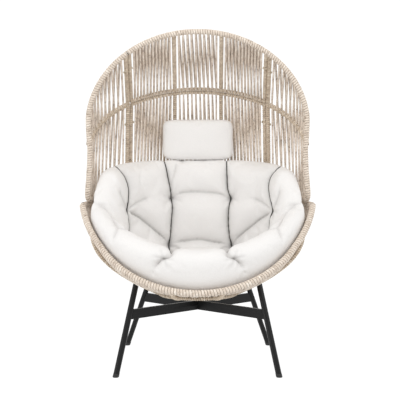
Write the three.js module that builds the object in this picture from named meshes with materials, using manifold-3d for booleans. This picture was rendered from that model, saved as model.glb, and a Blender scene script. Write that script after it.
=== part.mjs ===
// Free-standing egg lounge chair: a wound-strand shell in bolted sections on a four-leg steel base,
// with a tufted seat cushion and a small head pillow. Millimetres, +Z up, the open front faces -Y.
import * as THREE from "three";
import { mergeVertices } from "three/addons/utils/BufferGeometryUtils.js";
import Module from "manifold-3d";

const wasm = await Module();
wasm.setup();

// ---- Driving dimensions ----------------------------------------------------------------------

const GAP = 0.3; // clearance left between touching pieces

// Hood: the upper edge of the back, half an ellipse standing nearly upright.
const HOOD = { halfWidth: 478, baseZ: 1020, rise: 406, lean: -30, tube: 12.5 };

// Wing's front edge, from the hood down to the rail, and the sliver left where it meets the centre hood.
const WING_EDGE = [
  [474, 1, 975], [470, 2, 925], [472, 6, 850], [478, 14, 775], [483, 26, 722], [482, 42, 700],
];
const HOOD_JOINT = 0.08; // degrees, on each side of the joint
// Bearings where the hood turns into the wing's edge, and the edge into the rail.
const WING_BENDS = { hoodEnd: 6, railStart: 12, railStop: 1 };
const WING_PANEL = { hood: 4, hoop: 2, rail: 5 }; // bearings where the wing's strand panels begin

// Hoop: the tilted ring that divides the back into an upper and a lower part.
const HOOP = { halfWidth: 475, depth: 330, z: 935, tilt: 0.78, tube: 12, centreTube: 8.7 };

// Back rail: the bottom edge of the back, lying on the bowl's rear rim.
const RAIL = { halfWidth: 484, depth: 380, z: 697, tube: 9.5 };

// Half widths of the two pairs of ribs where they meet the hood, the hoop and the back rail.
const INNER_RIB = { hood: 103, hoop: 109, rail: 112, tube: 10 };
const OUTER_RIB = { hood: 305, hoop: 317, rail: 325, tube: 9.5, apart: 16 };

const RIB_BEND = 30; // how far from the hoop a full-length rib starts to bend

// Bowl rims: the front one is a tilted ellipse whose ends flare out to meet the level rear one.
const FRONT_RIM = { halfWidth: 484, depth: 430, centreY: 50, z: 673, tilt: 0.84, tube: 14 };
const RIM_FLARE = { reach: 26, span: 0.55 };
const REAR_RIM = { depth: 395, tube: 13 };
const BASE_RING = { halfWidth: 165, depth: 150, z: 293, tube: 9 };
const BOWL_FAN = 0.5; // 1 would lead every rib to the base ring at its own bearing
const BOWL_BULGE = { reach: 1, height: 0.5 };
const BOWL_RIB = { tube: 9, angles: [38, 142, 200, 340, 257, 283] };

// Straight stretches in each bent tube.
const STEPS = {
  hood: 18, hoop: 14, rail: 12, wingEdge: 38, wingRib: 13, wingHoop: 9,
  frontRim: 32, rearRim: 22, ring: 28, bowlRib: 7,
};

const WEAVE = 8; // thickness of the strand panels
const BOWL_WEAVE = { inset: 15, from: 0.05, to: 0.93 }; // inset from the ribs' centres to its middle
const BASE_WEAVE = { lift: 1, clearance: 1 };

// Base: four round legs, two flat cross bars that lap at the middle, four straps under the bowl.
const LEG = { radius: 12.6, foot: [330, 280], cap: 14, capRadius: 13.8, sides: 14 };
const FRONT_LEG_TOP = [253, 168, 372];
const REAR_LEG_TOP = [205, 168, 362];
const CROSS_BAR = { height: 40, thickness: 12, z: 238 };
const STRAP = { width: 30, thickness: 4, gap: 0.8, overhang: 15, end: 0.94 };

// Bolts through the double ribs, at a fraction of each rib's length above the rail or the hoop.
const BOLT = {
  shank: 3, head: 6.5, dome: 4.55, headHeight: 4, nut: 5.6, sides: 8, upper: 0.68, lower: 0.79,
};

// Seat cushion: a roll round its edge, a seat in the middle, an underside that follows the shell.
const CUSHION = { clearance: 30, seatZ: 466, footZ: 320, around: 36, firstAngle: 5 };
const ROLL_TURNS = [165, 120, 75, 30, -30];
const UNDERSIDE_DROPS = [0.3, 0.5, 0.7, 0.9];
const SEAT = { halfWidth: 285, frontDepth: 205, rearDepth: 190, sideRise: 24 };
const FRONT_ROLL = {
  sideInset: 70, inset: 66, sideRise: -30, rise: 98, ease: 0.8, sideRadius: 46, radius: 66,
};
const BACK_ROLL = { halfWidth: 399, depth: 297, rise: 149, ease: 0.3, sideRadius: 50, radius: 47 };

// Head pillow: rounded oblong sections from its front face to its back face, as
// [place through its depth, scale of its height, scale of its width].
const PILLOW = { width: 332, depth: 78, height: 190, baseZ: 867, y: 278, lean: 0.101, squareness: 0.4 };
const PILLOW_SECTIONS = [
  [-0.5, 0.72, 0.97], [-0.36, 0.93, 0.99], [0, 1, 1], [0.36, 0.93, 0.99], [0.5, 0.72, 0.97],
];

// ---- Colours ---------------------------------------------------------------------------------

const finish = (color, roughness, metalness) =>
  new THREE.MeshStandardMaterial({ color, roughness, metalness });
const strandFinish = finish(0xccc0b4, 0.62, 0);
const rimFinish = finish(0xdccdbe, 0.6, 0);
const blackMetal = finish(0x2b2b2b, 0.42, 0.4);
const blackPlastic = finish(0x1c1c1c, 0.55, 0);
const boltSteel = finish(0x6f6a62, 0.35, 0.9);
const fabric = finish(0xeeecea, 0.9, 0);

// ---- Shape helpers ---------------------------------------------------------------------------

const vec = (x, y, z) => new THREE.Vector3(x, y, z);
const rad = THREE.MathUtils.degToRad;
const sin = (degrees) => Math.sin(rad(degrees));
const cos = (degrees) => Math.cos(rad(degrees));
const bearing = (x, halfWidth) => THREE.MathUtils.radToDeg(Math.acos(x / halfWidth));

/** A curve given by a function of 0..1. */
class Route extends THREE.Curve {
  constructor(place) {
    super();
    this.place = place;
  }
  getPoint(t) {
    return this.place(t);
  }
}

const line = (from, to) => new THREE.LineCurve3(from, to);
const between = (a, b, t) => a + (b - a) * t;

function tube(path, radius, steps, sides = 8) {
  const corners = [];
  for (let i = 0; i < sides; i += 1) {
    const turn = ((i + 0.5) / sides) * 2 * Math.PI;
    corners.push(new THREE.Vector2(radius * Math.cos(turn), radius * Math.sin(turn)));
  }
  const section = new THREE.Shape(corners);
  return new THREE.ExtrudeGeometry(section, { extrudePath: path, steps, bevelEnabled: false });
}

function solid(geometry) {
  const bare = geometry.clone();
  bare.deleteAttribute("normal");
  bare.deleteAttribute("uv");
  const merged = mergeVertices(bare, 1e-3);
  const vertProperties = Float32Array.from(merged.attributes.position.array);
  const triVerts = Uint32Array.from(merged.index.array);
  return new wasm.Manifold(new wasm.Mesh({ numProp: 3, vertProperties, triVerts }));
}

/** The geometry less the cutters: the largest piece is kept and the offcuts are dropped. */
function cut(geometry, cutters) {
  let body = solid(geometry);
  for (const cutter of cutters) {
    body = body.subtract(solid(cutter));
  }
  const pieces = body.decompose().sort((a, b) => b.volume() - a.volume());
  const mesh = pieces[0].getMesh();
  const result = new THREE.BufferGeometry();
  const positions = Float32Array.from(mesh.vertProperties);
  result.setAttribute("position", new THREE.BufferAttribute(positions, 3));
  result.setIndex(new THREE.BufferAttribute(Uint32Array.from(mesh.triVerts), 1));
  result.computeVertexNormals();
  return result;
}

/** A closed surface from rings of points. The first and the last ring are single points. */
function closedRings(rings) {
  const positions = [];
  const starts = [];
  for (const ring of rings) {
    starts.push(positions.length / 3);
    ring.forEach((point) => positions.push(point.x, point.y, point.z));
  }
  const faces = [];
  for (let row = 0; row < rings.length - 1; row += 1) {
    const count = Math.max(rings[row].length, rings[row + 1].length);
    const at = (ring, i) => starts[ring] + (rings[ring].length === 1 ? 0 : i % count);
    for (let i = 0; i < count; i += 1) {
      if (rings[row].length > 1) {
        faces.push(at(row, i), at(row + 1, i), at(row, i + 1));
      }
      if (rings[row + 1].length > 1) {
        faces.push(at(row, i + 1), at(row + 1, i), at(row + 1, i + 1));
      }
    }
  }
  return facingOut(positions, faces);
}

/** A closed sheet of even thickness over a grid of {point, normal}, from offset low to offset high. */
function sheet(grid, low, high) {
  const rows = grid.length;
  const columns = grid[0].length;
  const positions = [];
  for (const offset of [low, high]) {
    for (const row of grid) {
      for (const { point, normal } of row) {
        const place = point.clone().addScaledVector(normal, offset);
        positions.push(place.x, place.y, place.z);
      }
    }
  }
  const at = (layer, row, column) => (layer * rows + row) * columns + column;
  const faces = [];
  const quad = (a, b, c, d) => faces.push(a, b, c, a, c, d);
  for (let r = 0; r < rows - 1; r += 1) {
    for (let c = 0; c < columns - 1; c += 1) {
      quad(at(1, r, c), at(1, r, c + 1), at(1, r + 1, c + 1), at(1, r + 1, c));
      quad(at(0, r, c), at(0, r + 1, c), at(0, r + 1, c + 1), at(0, r, c + 1));
    }
  }
  for (let c = 0; c < columns - 1; c += 1) {
    quad(at(0, 0, c), at(0, 0, c + 1), at(1, 0, c + 1), at(1, 0, c));
    quad(at(1, rows - 1, c), at(1, rows - 1, c + 1), at(0, rows - 1, c + 1), at(0, rows - 1, c));
  }
  const end = columns - 1;
  for (let r = 0; r < rows - 1; r += 1) {
    quad(at(1, r, 0), at(1, r + 1, 0), at(0, r + 1, 0), at(0, r, 0));
    quad(at(0, r, end), at(0, r + 1, end), at(1, r + 1, end), at(1, r, end));
  }
  return facingOut(positions, faces);
}

/** Builds the geometry and turns its faces round if they enclose a negative volume. */
function facingOut(positions, faces) {
  const corner = (i) => vec(positions[3 * i], positions[3 * i + 1], positions[3 * i + 2]);
  let volume = 0;
  for (let i = 0; i < faces.length; i += 3) {
    volume += corner(faces[i]).dot(corner(faces[i + 1]).cross(corner(faces[i + 2])));
  }
  const geometry = new THREE.BufferGeometry();
  geometry.setAttribute("position", new THREE.BufferAttribute(Float32Array.from(positions), 3));
  geometry.setIndex(volume < 0 ? faces.reverse() : faces);
  geometry.computeVertexNormals();
  return geometry;
}

/** A grid over a surface given by a function of u and v, with normals on the side of the guide. */
function surfaceGrid(place, uValues, vValues, guide) {
  const small = 1e-3;
  return uValues.map((u) => vValues.map((v) => {
    const point = place(u, v);
    const alongU = place(u + small, v).sub(place(u - small, v));
    const alongV = place(u, v + small).sub(place(u, v - small));
    const normal = alongU.cross(alongV).normalize();
    if (normal.dot(point.clone().sub(guide)) < 0) {
      normal.negate();
    }
    return { point, normal };
  }));
}

const spread = (from, to, count) => Array.from({ length: count + 1 }, (_, i) => between(from, to, i / count));

// ---- The object's own curves -----------------------------------------------------------------

/** Points of the back's three level lines. 0 is the right side, 90 the middle, 180 the left. */
const hoodAt = (angle) =>
  vec(HOOD.halfWidth * cos(angle), HOOD.lean * sin(angle), HOOD.baseZ + HOOD.rise * sin(angle));
function hoopAt(angle) {
  const y = HOOP.depth * sin(angle);
  return vec(HOOP.halfWidth * cos(angle), y, HOOP.z + HOOP.tilt * y);
}
const railAt = (angle) => vec(RAIL.halfWidth * cos(angle), RAIL.depth * sin(angle), RAIL.z);

/** The two stacked hoops of the middle section, each half a tube pitch from the hoop's line. */
function stackedHoopAt(angle, side) {
  const middle = hoopAt(angle);
  const above = hoodAt(angle).sub(middle).normalize();
  const below = middle.clone().sub(railAt(angle)).normalize();
  const direction = above.add(below).normalize();
  return middle.addScaledVector(direction, side * (HOOP.centreTube + GAP));
}

/** Where a rib meets the three lines; shift moves it along them, away from the middle. */
function ribStations(rib, side, shift = 0) {
  const station = (at, x, halfWidth) => {
    const point = at(bearing(x + shift, halfWidth));
    return vec(side * point.x, point.y, point.z);
  };
  return {
    hood: station(hoodAt, rib.hood, HOOD.halfWidth),
    hoop: station(hoopAt, rib.hoop, HOOP.halfWidth),
    rail: station(railAt, rib.rail, RAIL.halfWidth),
    upperHoop: station((angle) => stackedHoopAt(angle, 1), rib.hoop, HOOP.halfWidth),
    lowerHoop: station((angle) => stackedHoopAt(angle, -1), rib.hoop, HOOP.halfWidth),
  };
}

/** The front rim's bearing where it reaches the level rear rim. */
const KNOB = THREE.MathUtils.radToDeg(Math.asin(FRONT_RIM.centreY / FRONT_RIM.depth));

function frontRimAt(angle) {
  const flare = RIM_FLARE.reach * Math.max(0, 1 - sin(angle) / RIM_FLARE.span);
  const y = FRONT_RIM.centreY - FRONT_RIM.depth * sin(angle);
  return vec((FRONT_RIM.halfWidth + flare) * cos(angle), y, FRONT_RIM.z + FRONT_RIM.tilt * y);
}
const rimHalfWidth = frontRimAt(KNOB).x;

/** The whole rim of the bowl: 0 right, 90 back, 180 left, 270 front. */
function rimAt(angle) {
  if (angle >= 0 && angle <= 180) {
    return vec(rimHalfWidth * cos(angle), REAR_RIM.depth * sin(angle), FRONT_RIM.z);
  }
  const below = angle < 0 ? -angle : 360 - angle;
  const turned = below <= 90 ? below : 180 - below;
  const point = frontRimAt(between(KNOB, 90, turned / 90));
  return vec(below <= 90 ? point.x : -point.x, point.y, point.z);
}

function baseRingAt(angle) {
  const turned = Math.atan2(BOWL_FAN * sin(angle), cos(angle));
  return vec(BASE_RING.halfWidth * Math.cos(turned), BASE_RING.depth * Math.sin(turned), BASE_RING.z);
}

/** The bowl's surface: drop 0 at the rim, 1 at the base ring. */
function bowlAt(angle, drop) {
  const rim = rimAt(angle);
  const base = baseRingAt(angle);
  const bulgeZ = between(base.z, rim.z, BOWL_BULGE.height);
  const bulge = vec(rim.x * BOWL_BULGE.reach, rim.y * BOWL_BULGE.reach, bulgeZ);
  return new THREE.QuadraticBezierCurve3(rim, bulge, base).getPoint(drop);
}

const BOWL_MIDDLE = vec(0, 0, 720);
const bowlGrid = (angles, drops) => surfaceGrid(bowlAt, angles, drops, BOWL_MIDDLE);

// ---- Assembly --------------------------------------------------------------------------------

const chair = new THREE.Group();

function add(name, geometry, material) {
  const mesh = new THREE.Mesh(geometry, material);
  mesh.name = name;
  chair.add(mesh);
}

const sideName = (side) => (side < 0 ? "left" : "right");
const mirrorRoute = (place, side) => new Route((t) => {
  const point = place(t);
  return vec(side * point.x, point.y, point.z);
});

// ---- Back: rails, hoops and ribs -------------------------------------------------------------

const outerHoodAngle = bearing(OUTER_RIB.hood, HOOD.halfWidth);
const outerHoopAngle = bearing(OUTER_RIB.hoop, HOOP.halfWidth);
const outerRailAngle = bearing(OUTER_RIB.rail, RAIL.halfWidth);

/** One bent tube: down the hood, down the wing's front edge, and back along the bottom. */
function wingEdgeRoute(side) {
  const points = [];
  for (const angle of spread(outerHoodAngle - HOOD_JOINT, WING_BENDS.hoodEnd, 8)) {
    points.push(hoodAt(angle));
  }
  points.push(...WING_EDGE.map((place) => vec(...place)));
  for (const angle of spread(WING_BENDS.railStart, outerRailAngle - WING_BENDS.railStop, 5)) {
    points.push(railAt(angle));
  }
  const path = new THREE.CatmullRomCurve3(points, false, "centripetal");
  return mirrorRoute((t) => path.getPoint(t), side);
}

const hoodCentreStart = outerHoodAngle + HOOD_JOINT;
const hoodCentre = new Route((t) => hoodAt(between(hoodCentreStart, 180 - hoodCentreStart, t)));
const stackedHoop = (stack) =>
  new Route((t) => stackedHoopAt(between(outerHoopAngle, 180 - outerHoopAngle, t), stack));
const backRail = new Route((t) => railAt(between(outerRailAngle, 180 - outerRailAngle, t)));
const wingHoop = (side) => mirrorRoute((t) => hoopAt(between(1, outerHoopAngle - 0.5, t)), side);

function wingRibRoute(side) {
  const { hood, hoop, rail } = ribStations(OUTER_RIB, side, OUTER_RIB.apart / 2);
  const towards = (from, to, distance) => from.clone().add(to.clone().sub(from).setLength(distance));
  const route = new THREE.CurvePath();
  const below = towards(hoop, rail, RIB_BEND);
  const above = towards(hoop, hood, RIB_BEND);
  route.add(line(rail, below));
  route.add(new THREE.QuadraticBezierCurve3(below, hoop, above));
  route.add(line(above, hood));
  return route;
}

const fatHood = tube(hoodCentre, HOOD.tube + GAP, STEPS.hood);
const fatHoop = {};
for (const stack of [1, -1]) {
  fatHoop[stack] = tube(stackedHoop(stack), HOOP.centreTube + GAP, STEPS.hoop);
}
const fatRail = tube(backRail, RAIL.tube + GAP, STEPS.rail);
const fatWingEdge = {};
const fatWingRib = {};
const fatWingHoop = {};
const fatRib = {};

/** The bolts through a double rib: each lies along the line between its two tubes. */
function boltPlaces(side) {
  const wing = ribStations(OUTER_RIB, side, OUTER_RIB.apart / 2);
  const centre = ribStations(OUTER_RIB, side, -OUTER_RIB.apart / 2);
  const place = (from, to, fraction) => {
    const outside = wing[from].clone().lerp(wing[to], fraction);
    const inside = centre[from].clone().lerp(centre[to], fraction);
    const axis = outside.clone().sub(inside);
    const halfGrip = axis.length() / 2 + OUTER_RIB.tube + GAP;
    return { middle: inside.lerp(outside, 0.5), axis: axis.normalize(), halfGrip };
  };
  return { lower: place("rail", "hoop", BOLT.lower), upper: place("hoop", "hood", BOLT.upper) };
}

/** A bolt with its head and nut; grow makes it larger all round, to cut its seats and hole. */
function boltShape({ middle, axis, halfGrip }, grow = 0) {
  const seat = halfGrip - grow;
  const end = halfGrip + BOLT.headHeight + grow;
  const profile = [
    [0, -end], [BOLT.nut + grow, -end], [BOLT.nut + grow, -seat], [BOLT.shank + grow, -seat],
    [BOLT.shank + grow, seat], [BOLT.head + grow, seat], [BOLT.dome + grow, end], [0, end],
  ].map(([radius, height]) => new THREE.Vector2(radius, height));
  const turn = new THREE.Quaternion().setFromUnitVectors(vec(0, 1, 0), axis);
  const shape = new THREE.LatheGeometry(profile, BOLT.sides);
  return shape.applyQuaternion(turn).translate(middle.x, middle.y, middle.z);
}
const fatBolts = [];

for (const side of [-1, 1]) {
  const name = sideName(side);
  const bolts = boltPlaces(side);
  const holes = Object.values(bolts).map((bolt) => boltShape(bolt, GAP));
  fatBolts.push(...holes);

  const edge = wingEdgeRoute(side);
  fatWingEdge[side] = tube(edge, HOOD.tube + GAP, STEPS.wingEdge);
  add(`wing_edge_${name}`, tube(edge, HOOD.tube, STEPS.wingEdge), rimFinish);

  const rib = wingRibRoute(side);
  fatWingRib[side] = tube(rib, OUTER_RIB.tube + GAP, STEPS.wingRib);
  const ribEnds = [fatWingEdge[side], fatHood, fatRail];
  const ribBar = tube(rib, OUTER_RIB.tube, STEPS.wingRib);
  add(`wing_rib_${name}`, cut(ribBar, [...ribEnds, ...holes]), strandFinish);

  const hoop = wingHoop(side);
  fatWingHoop[side] = tube(hoop, HOOP.tube + GAP, STEPS.wingHoop);
  add(
    `wing_hoop_${name}`,
    cut(tube(hoop, HOOP.tube, STEPS.wingHoop), [fatWingEdge[side], fatWingRib[side]]),
    strandFinish,
  );

  const outer = ribStations(OUTER_RIB, side, -OUTER_RIB.apart / 2);
  const inner = ribStations(INNER_RIB, side);
  const ribs = [
    [`upper_outer_rib_${name}`, outer.upperHoop, outer.hood, OUTER_RIB.tube, [fatHoop[1], fatHood]],
    [`lower_outer_rib_${name}`, outer.rail, outer.lowerHoop, OUTER_RIB.tube, [fatRail, fatHoop[-1]]],
    [`upper_inner_rib_${name}`, inner.upperHoop, inner.hood, INNER_RIB.tube, [fatHoop[1], fatHood]],
    [`lower_inner_rib_${name}`, inner.rail, inner.lowerHoop, INNER_RIB.tube, [fatRail, fatHoop[-1]]],
  ];
  for (const [ribName, from, to, radius, rails] of ribs) {
    const route = line(from, to);
    fatRib[ribName] = tube(route, radius + GAP, 1);
    const isOuter = radius === OUTER_RIB.tube;
    const outerCuts = [...rails, fatWingEdge[side], fatWingRib[side], ...holes];
    add(ribName, cut(tube(route, radius, 1), isOuter ? outerCuts : rails), strandFinish);
  }

  for (const [level, bolt] of Object.entries(bolts)) {
    add(`${level}_rib_bolt_${name}`, boltShape(bolt), boltSteel);
  }
}

add("hood_rim_centre", tube(hoodCentre, HOOD.tube, STEPS.hood), rimFinish);
add(
  "upper_hoop",
  cut(tube(stackedHoop(1), HOOP.centreTube, STEPS.hoop), [fatWingRib[1], fatWingRib[-1]]),
  strandFinish,
);
add(
  "lower_hoop",
  cut(tube(stackedHoop(-1), HOOP.centreTube, STEPS.hoop), [fatWingRib[1], fatWingRib[-1]]),
  strandFinish,
);
add(
  "back_bottom_rail",
  cut(tube(backRail, RAIL.tube, STEPS.rail), [fatWingRib[1], fatWingRib[-1]]),
  strandFinish,
);

// ---- Back: strand panels ---------------------------------------------------------------------

/** The ruled surface between two level lines, as a panel trimmed by the tubes round it. */
function panel(lower, upper, fromAngles, toAngles, columns, cutters) {
  const place = (u, v) => {
    const low = lower(between(fromAngles[0], toAngles[0], u));
    return low.lerp(upper(between(fromAngles[1], toAngles[1], u)), v);
  };
  const grid = surfaceGrid(place, spread(0, 1, columns), [0, 1], vec(0, 0, 1000));
  return cut(sheet(grid, -WEAVE / 2, WEAVE / 2), cutters);
}

const mirrored = (geometry, side) => {
  if (side > 0) {
    return geometry;
  }
  const flipped = geometry.clone().scale(-1, 1, 1);
  return facingOut(Array.from(flipped.attributes.position.array), Array.from(flipped.index.array));
};

const innerAngles = {
  hood: bearing(INNER_RIB.hood, HOOD.halfWidth),
  hoop: bearing(INNER_RIB.hoop, HOOP.halfWidth),
  rail: bearing(INNER_RIB.rail, RAIL.halfWidth),
};
const upperHoopAt = (angle) => stackedHoopAt(angle, 1);
const lowerHoopAt = (angle) => stackedHoopAt(angle, -1);
const fatRibsOf = (level) =>
  Object.entries(fatRib).filter(([name]) => name.startsWith(level)).map(([, fat]) => fat);
const upperCutters = [fatHood, fatHoop[1], fatWingEdge[1], ...fatRibsOf("upper"), ...fatBolts];
const lowerCutters = [fatRail, fatHoop[-1], ...fatRibsOf("lower"), ...fatBolts];

for (const side of [-1, 1]) {
  const name = sideName(side);
  const rightOuterRibs = [fatRib.upper_outer_rib_right, fatRib.lower_outer_rib_right];
  const wingCutters = [fatWingEdge[1], fatWingRib[1], fatWingHoop[1], ...rightOuterRibs, ...fatBolts];
  const topStart = [WING_PANEL.hoop, WING_PANEL.hood];
  const bottomStart = [WING_PANEL.rail, WING_PANEL.hoop];
  const wingTop = panel(hoopAt, hoodAt, topStart, [outerHoopAngle, outerHoodAngle], 6, wingCutters);
  const wingBottom = panel(railAt, hoopAt, bottomStart, [outerRailAngle, outerHoopAngle], 6, wingCutters);
  add(`wing_weave_upper_${name}`, mirrored(wingTop, side), strandFinish);
  add(`wing_weave_lower_${name}`, mirrored(wingBottom, side), strandFinish);

  const outerUpper = [outerHoopAngle, outerHoodAngle];
  const innerUpper = [innerAngles.hoop, innerAngles.hood];
  const outerLower = [outerRailAngle, outerHoopAngle];
  const innerLower = [innerAngles.rail, innerAngles.hoop];
  const sideTop = panel(upperHoopAt, hoodAt, outerUpper, innerUpper, 3, upperCutters);
  const sideBottom = panel(railAt, lowerHoopAt, outerLower, innerLower, 3, lowerCutters);
  add(`back_weave_upper_${name}`, mirrored(sideTop, side), strandFinish);
  add(`back_weave_lower_${name}`, mirrored(sideBottom, side), strandFinish);
}

const acrossUpper = [[innerAngles.hoop, innerAngles.hood], [180 - innerAngles.hoop, 180 - innerAngles.hood]];
const acrossLower = [[innerAngles.rail, innerAngles.hoop], [180 - innerAngles.rail, 180 - innerAngles.hoop]];
add("back_weave_upper_middle", panel(upperHoopAt, hoodAt, ...acrossUpper, 3, upperCutters), strandFinish);
add("back_weave_lower_middle", panel(railAt, lowerHoopAt, ...acrossLower, 3, lowerCutters), strandFinish);

// ---- Bowl ------------------------------------------------------------------------------------

const frontRim = new Route((t) => rimAt(between(180, 360, t)));
const rearRim = new Route((t) => rimAt(between(0, 180, t)));
const fatFrontRim = tube(frontRim, FRONT_RIM.tube + GAP, STEPS.frontRim);
const fatRearRim = tube(rearRim, REAR_RIM.tube + GAP, STEPS.rearRim);
add("seat_rim_front", tube(frontRim, FRONT_RIM.tube, STEPS.frontRim), rimFinish);
add("seat_rim_rear", cut(tube(rearRim, REAR_RIM.tube, STEPS.rearRim), [fatFrontRim]), rimFinish);

function ring(radius) {
  const section = [];
  for (const turn of spread(0, 2 * Math.PI, 8)) {
    section.push(new THREE.Vector2(BASE_RING.halfWidth + radius * Math.cos(turn), radius * Math.sin(turn)));
  }
  const geometry = new THREE.LatheGeometry(section, STEPS.ring).rotateX(Math.PI / 2);
  return geometry.scale(1, BASE_RING.depth / BASE_RING.halfWidth, 1).translate(0, 0, BASE_RING.z);
}
const fatRing = ring(BASE_RING.tube + GAP);
add("base_ring", ring(BASE_RING.tube), strandFinish);

BOWL_RIB.angles.forEach((angle, index) => {
  const route = new Route((t) => bowlAt(angle, t));
  const body = cut(tube(route, BOWL_RIB.tube, STEPS.bowlRib), [fatFrontRim, fatRearRim, fatRing]);
  add(`bowl_rib_${index + 1}`, body, strandFinish);
});

const weaveOffsets = [-BOWL_WEAVE.inset - WEAVE / 2, -BOWL_WEAVE.inset + WEAVE / 2];
const weaveDrops = spread(BOWL_WEAVE.from, BOWL_WEAVE.to, 5);
const bowlCutters = [fatFrontRim, fatRearRim, fatRing];
const bowlWeave = (from, to) =>
  cut(sheet(bowlGrid(spread(from, to, 18), weaveDrops), ...weaveOffsets), bowlCutters);
add("bowl_weave_rear", bowlWeave(1, 179), strandFinish);
add("bowl_weave_front", bowlWeave(181, 359), strandFinish);

const baseWeave = new THREE.CylinderGeometry(1, 1, WEAVE, 28).rotateX(Math.PI / 2);
const baseReach = BASE_RING.tube + BASE_WEAVE.clearance;
baseWeave.scale(BASE_RING.halfWidth - baseReach, BASE_RING.depth - baseReach, 1);
add("base_weave", baseWeave.translate(0, 0, BASE_RING.z + BASE_WEAVE.lift), strandFinish);

// ---- Legs, foot caps, cross bars and straps --------------------------------------------------

/** A round bar between two heights on a leaning axis, its ends cut level. */
function leaningBar(foot, top, low, high, radius) {
  const lean = [(top.x - foot.x) / top.z, (top.y - foot.y) / top.z];
  const bar = new THREE.CylinderGeometry(radius, radius, high - low, LEG.sides).rotateX(Math.PI / 2);
  bar.translate(0, 0, (high + low) / 2);
  const positions = bar.attributes.position;
  for (let i = 0; i < positions.count; i += 1) {
    const z = positions.getZ(i);
    const x = positions.getX(i) + foot.x + lean[0] * z;
    const y = positions.getY(i) + foot.y + lean[1] * z;
    positions.setXYZ(i, x, y, z);
  }
  return bar;
}

const legPlaces = [];
for (const end of ["front", "rear"]) {
  for (const side of [-1, 1]) {
    const away = end === "front" ? -1 : 1;
    const [x, y, z] = end === "front" ? FRONT_LEG_TOP : REAR_LEG_TOP;
    const foot = vec(side * LEG.foot[0], away * LEG.foot[1], 0);
    legPlaces.push({ name: `${end}_${sideName(side)}`, end, foot, top: vec(side * x, away * y, z) });
  }
}

/** The bowl's bearing whose surface passes nearest above a leg's top. */
function nearestBearing(target) {
  let best = { distance: Infinity };
  for (const angle of spread(0, 360, 720)) {
    for (const drop of spread(0.2, 0.9, 70)) {
      const distance = bowlAt(angle, drop).distanceTo(target);
      if (distance < best.distance) {
        best = { distance, angle, drop };
      }
    }
  }
  return best;
}

/** A strip under the bowl from the base ring out past a leg's top, from offset low to offset high. */
function bowlStrip(place, width, low, high, overhang) {
  const middle = bowlAt(place.angle, place.drop);
  const alongRim = bowlAt(place.angle + 1, place.drop).distanceTo(middle);
  const towardsRim = bowlAt(place.angle, place.drop - 0.1).distanceTo(middle) / 0.1;
  const halfTurn = width / 2 / alongRim;
  const angles = [place.angle - halfTurn, place.angle + halfTurn];
  return sheet(bowlGrid(angles, spread(place.drop - overhang / towardsRim, STRAP.end, 6)), low, high);
}

// The front straps lie against the strands, and the rear ones pass under a rib.
const strapLow = {
  front: WEAVE / 2 - BOWL_WEAVE.inset + STRAP.gap,
  rear: BOWL_RIB.tube + STRAP.gap,
};
const fatLegs = {};
for (const { name, end, foot, top } of legPlaces) {
  const place = nearestBearing(top);
  const low = strapLow[end];
  const high = low + STRAP.thickness;
  const leg = leaningBar(foot, top, LEG.cap + GAP, top.z + 40, LEG.radius);
  fatLegs[name] = leaningBar(foot, top, 0, top.z, LEG.radius + GAP);
  const above = bowlStrip(place, 2 * STRAP.width, low - 60, high + 2 * STRAP.gap, 2.4 * STRAP.overhang);
  add(`leg_${name}`, cut(leg, [above]), blackMetal);
  add(`foot_cap_${name}`, leaningBar(foot, top, 0, LEG.cap, LEG.capRadius), blackPlastic);
  const strap = bowlStrip(place, STRAP.width, low, high, STRAP.overhang);
  add(`seat_strap_${name}`, cut(strap, [fatRing]), blackMetal);
}

/** A flat bar from a front leg to the opposite rear leg, with half its height cut out at the middle. */
function crossBar(frontName, rearName, notchSide) {
  const at = (name) => {
    const { foot, top } = legPlaces.find((leg) => leg.name === name);
    return foot.clone().lerp(top, CROSS_BAR.z / top.z);
  };
  const from = at(frontName);
  const run = at(rearName).sub(from);
  const turn = Math.atan2(run.y, run.x);
  const middle = from.clone().addScaledVector(run, 0.5);
  const bar = new THREE.BoxGeometry(run.length(), CROSS_BAR.thickness, CROSS_BAR.height);
  bar.rotateZ(turn).translate(middle.x, middle.y, CROSS_BAR.z);
  const notch = new THREE.BoxGeometry(run.length(), CROSS_BAR.thickness + 2 * GAP, CROSS_BAR.height);
  const lift = notchSide * (CROSS_BAR.height / 2 - GAP / 2);
  notch.rotateZ(Math.PI - turn).translate(0, crossingY, CROSS_BAR.z + lift);
  return cut(bar, [notch, fatLegs[frontName], fatLegs[rearName]]);
}

const frontReach = LEG.foot[0] - (LEG.foot[0] - FRONT_LEG_TOP[0]) * CROSS_BAR.z / FRONT_LEG_TOP[2];
const rearReach = LEG.foot[0] - (LEG.foot[0] - REAR_LEG_TOP[0]) * CROSS_BAR.z / REAR_LEG_TOP[2];
const frontY = -LEG.foot[1] + (LEG.foot[1] - FRONT_LEG_TOP[1]) * CROSS_BAR.z / FRONT_LEG_TOP[2];
const rearY = LEG.foot[1] - (LEG.foot[1] - REAR_LEG_TOP[1]) * CROSS_BAR.z / REAR_LEG_TOP[2];
const crossingY = between(frontY, rearY, frontReach / (frontReach + rearReach));
add("cross_bar_a", crossBar("front_left", "rear_right", 1), blackMetal);
add("cross_bar_b", crossBar("front_right", "rear_left", -1), blackMetal);

// ---- Cushions --------------------------------------------------------------------------------

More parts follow.
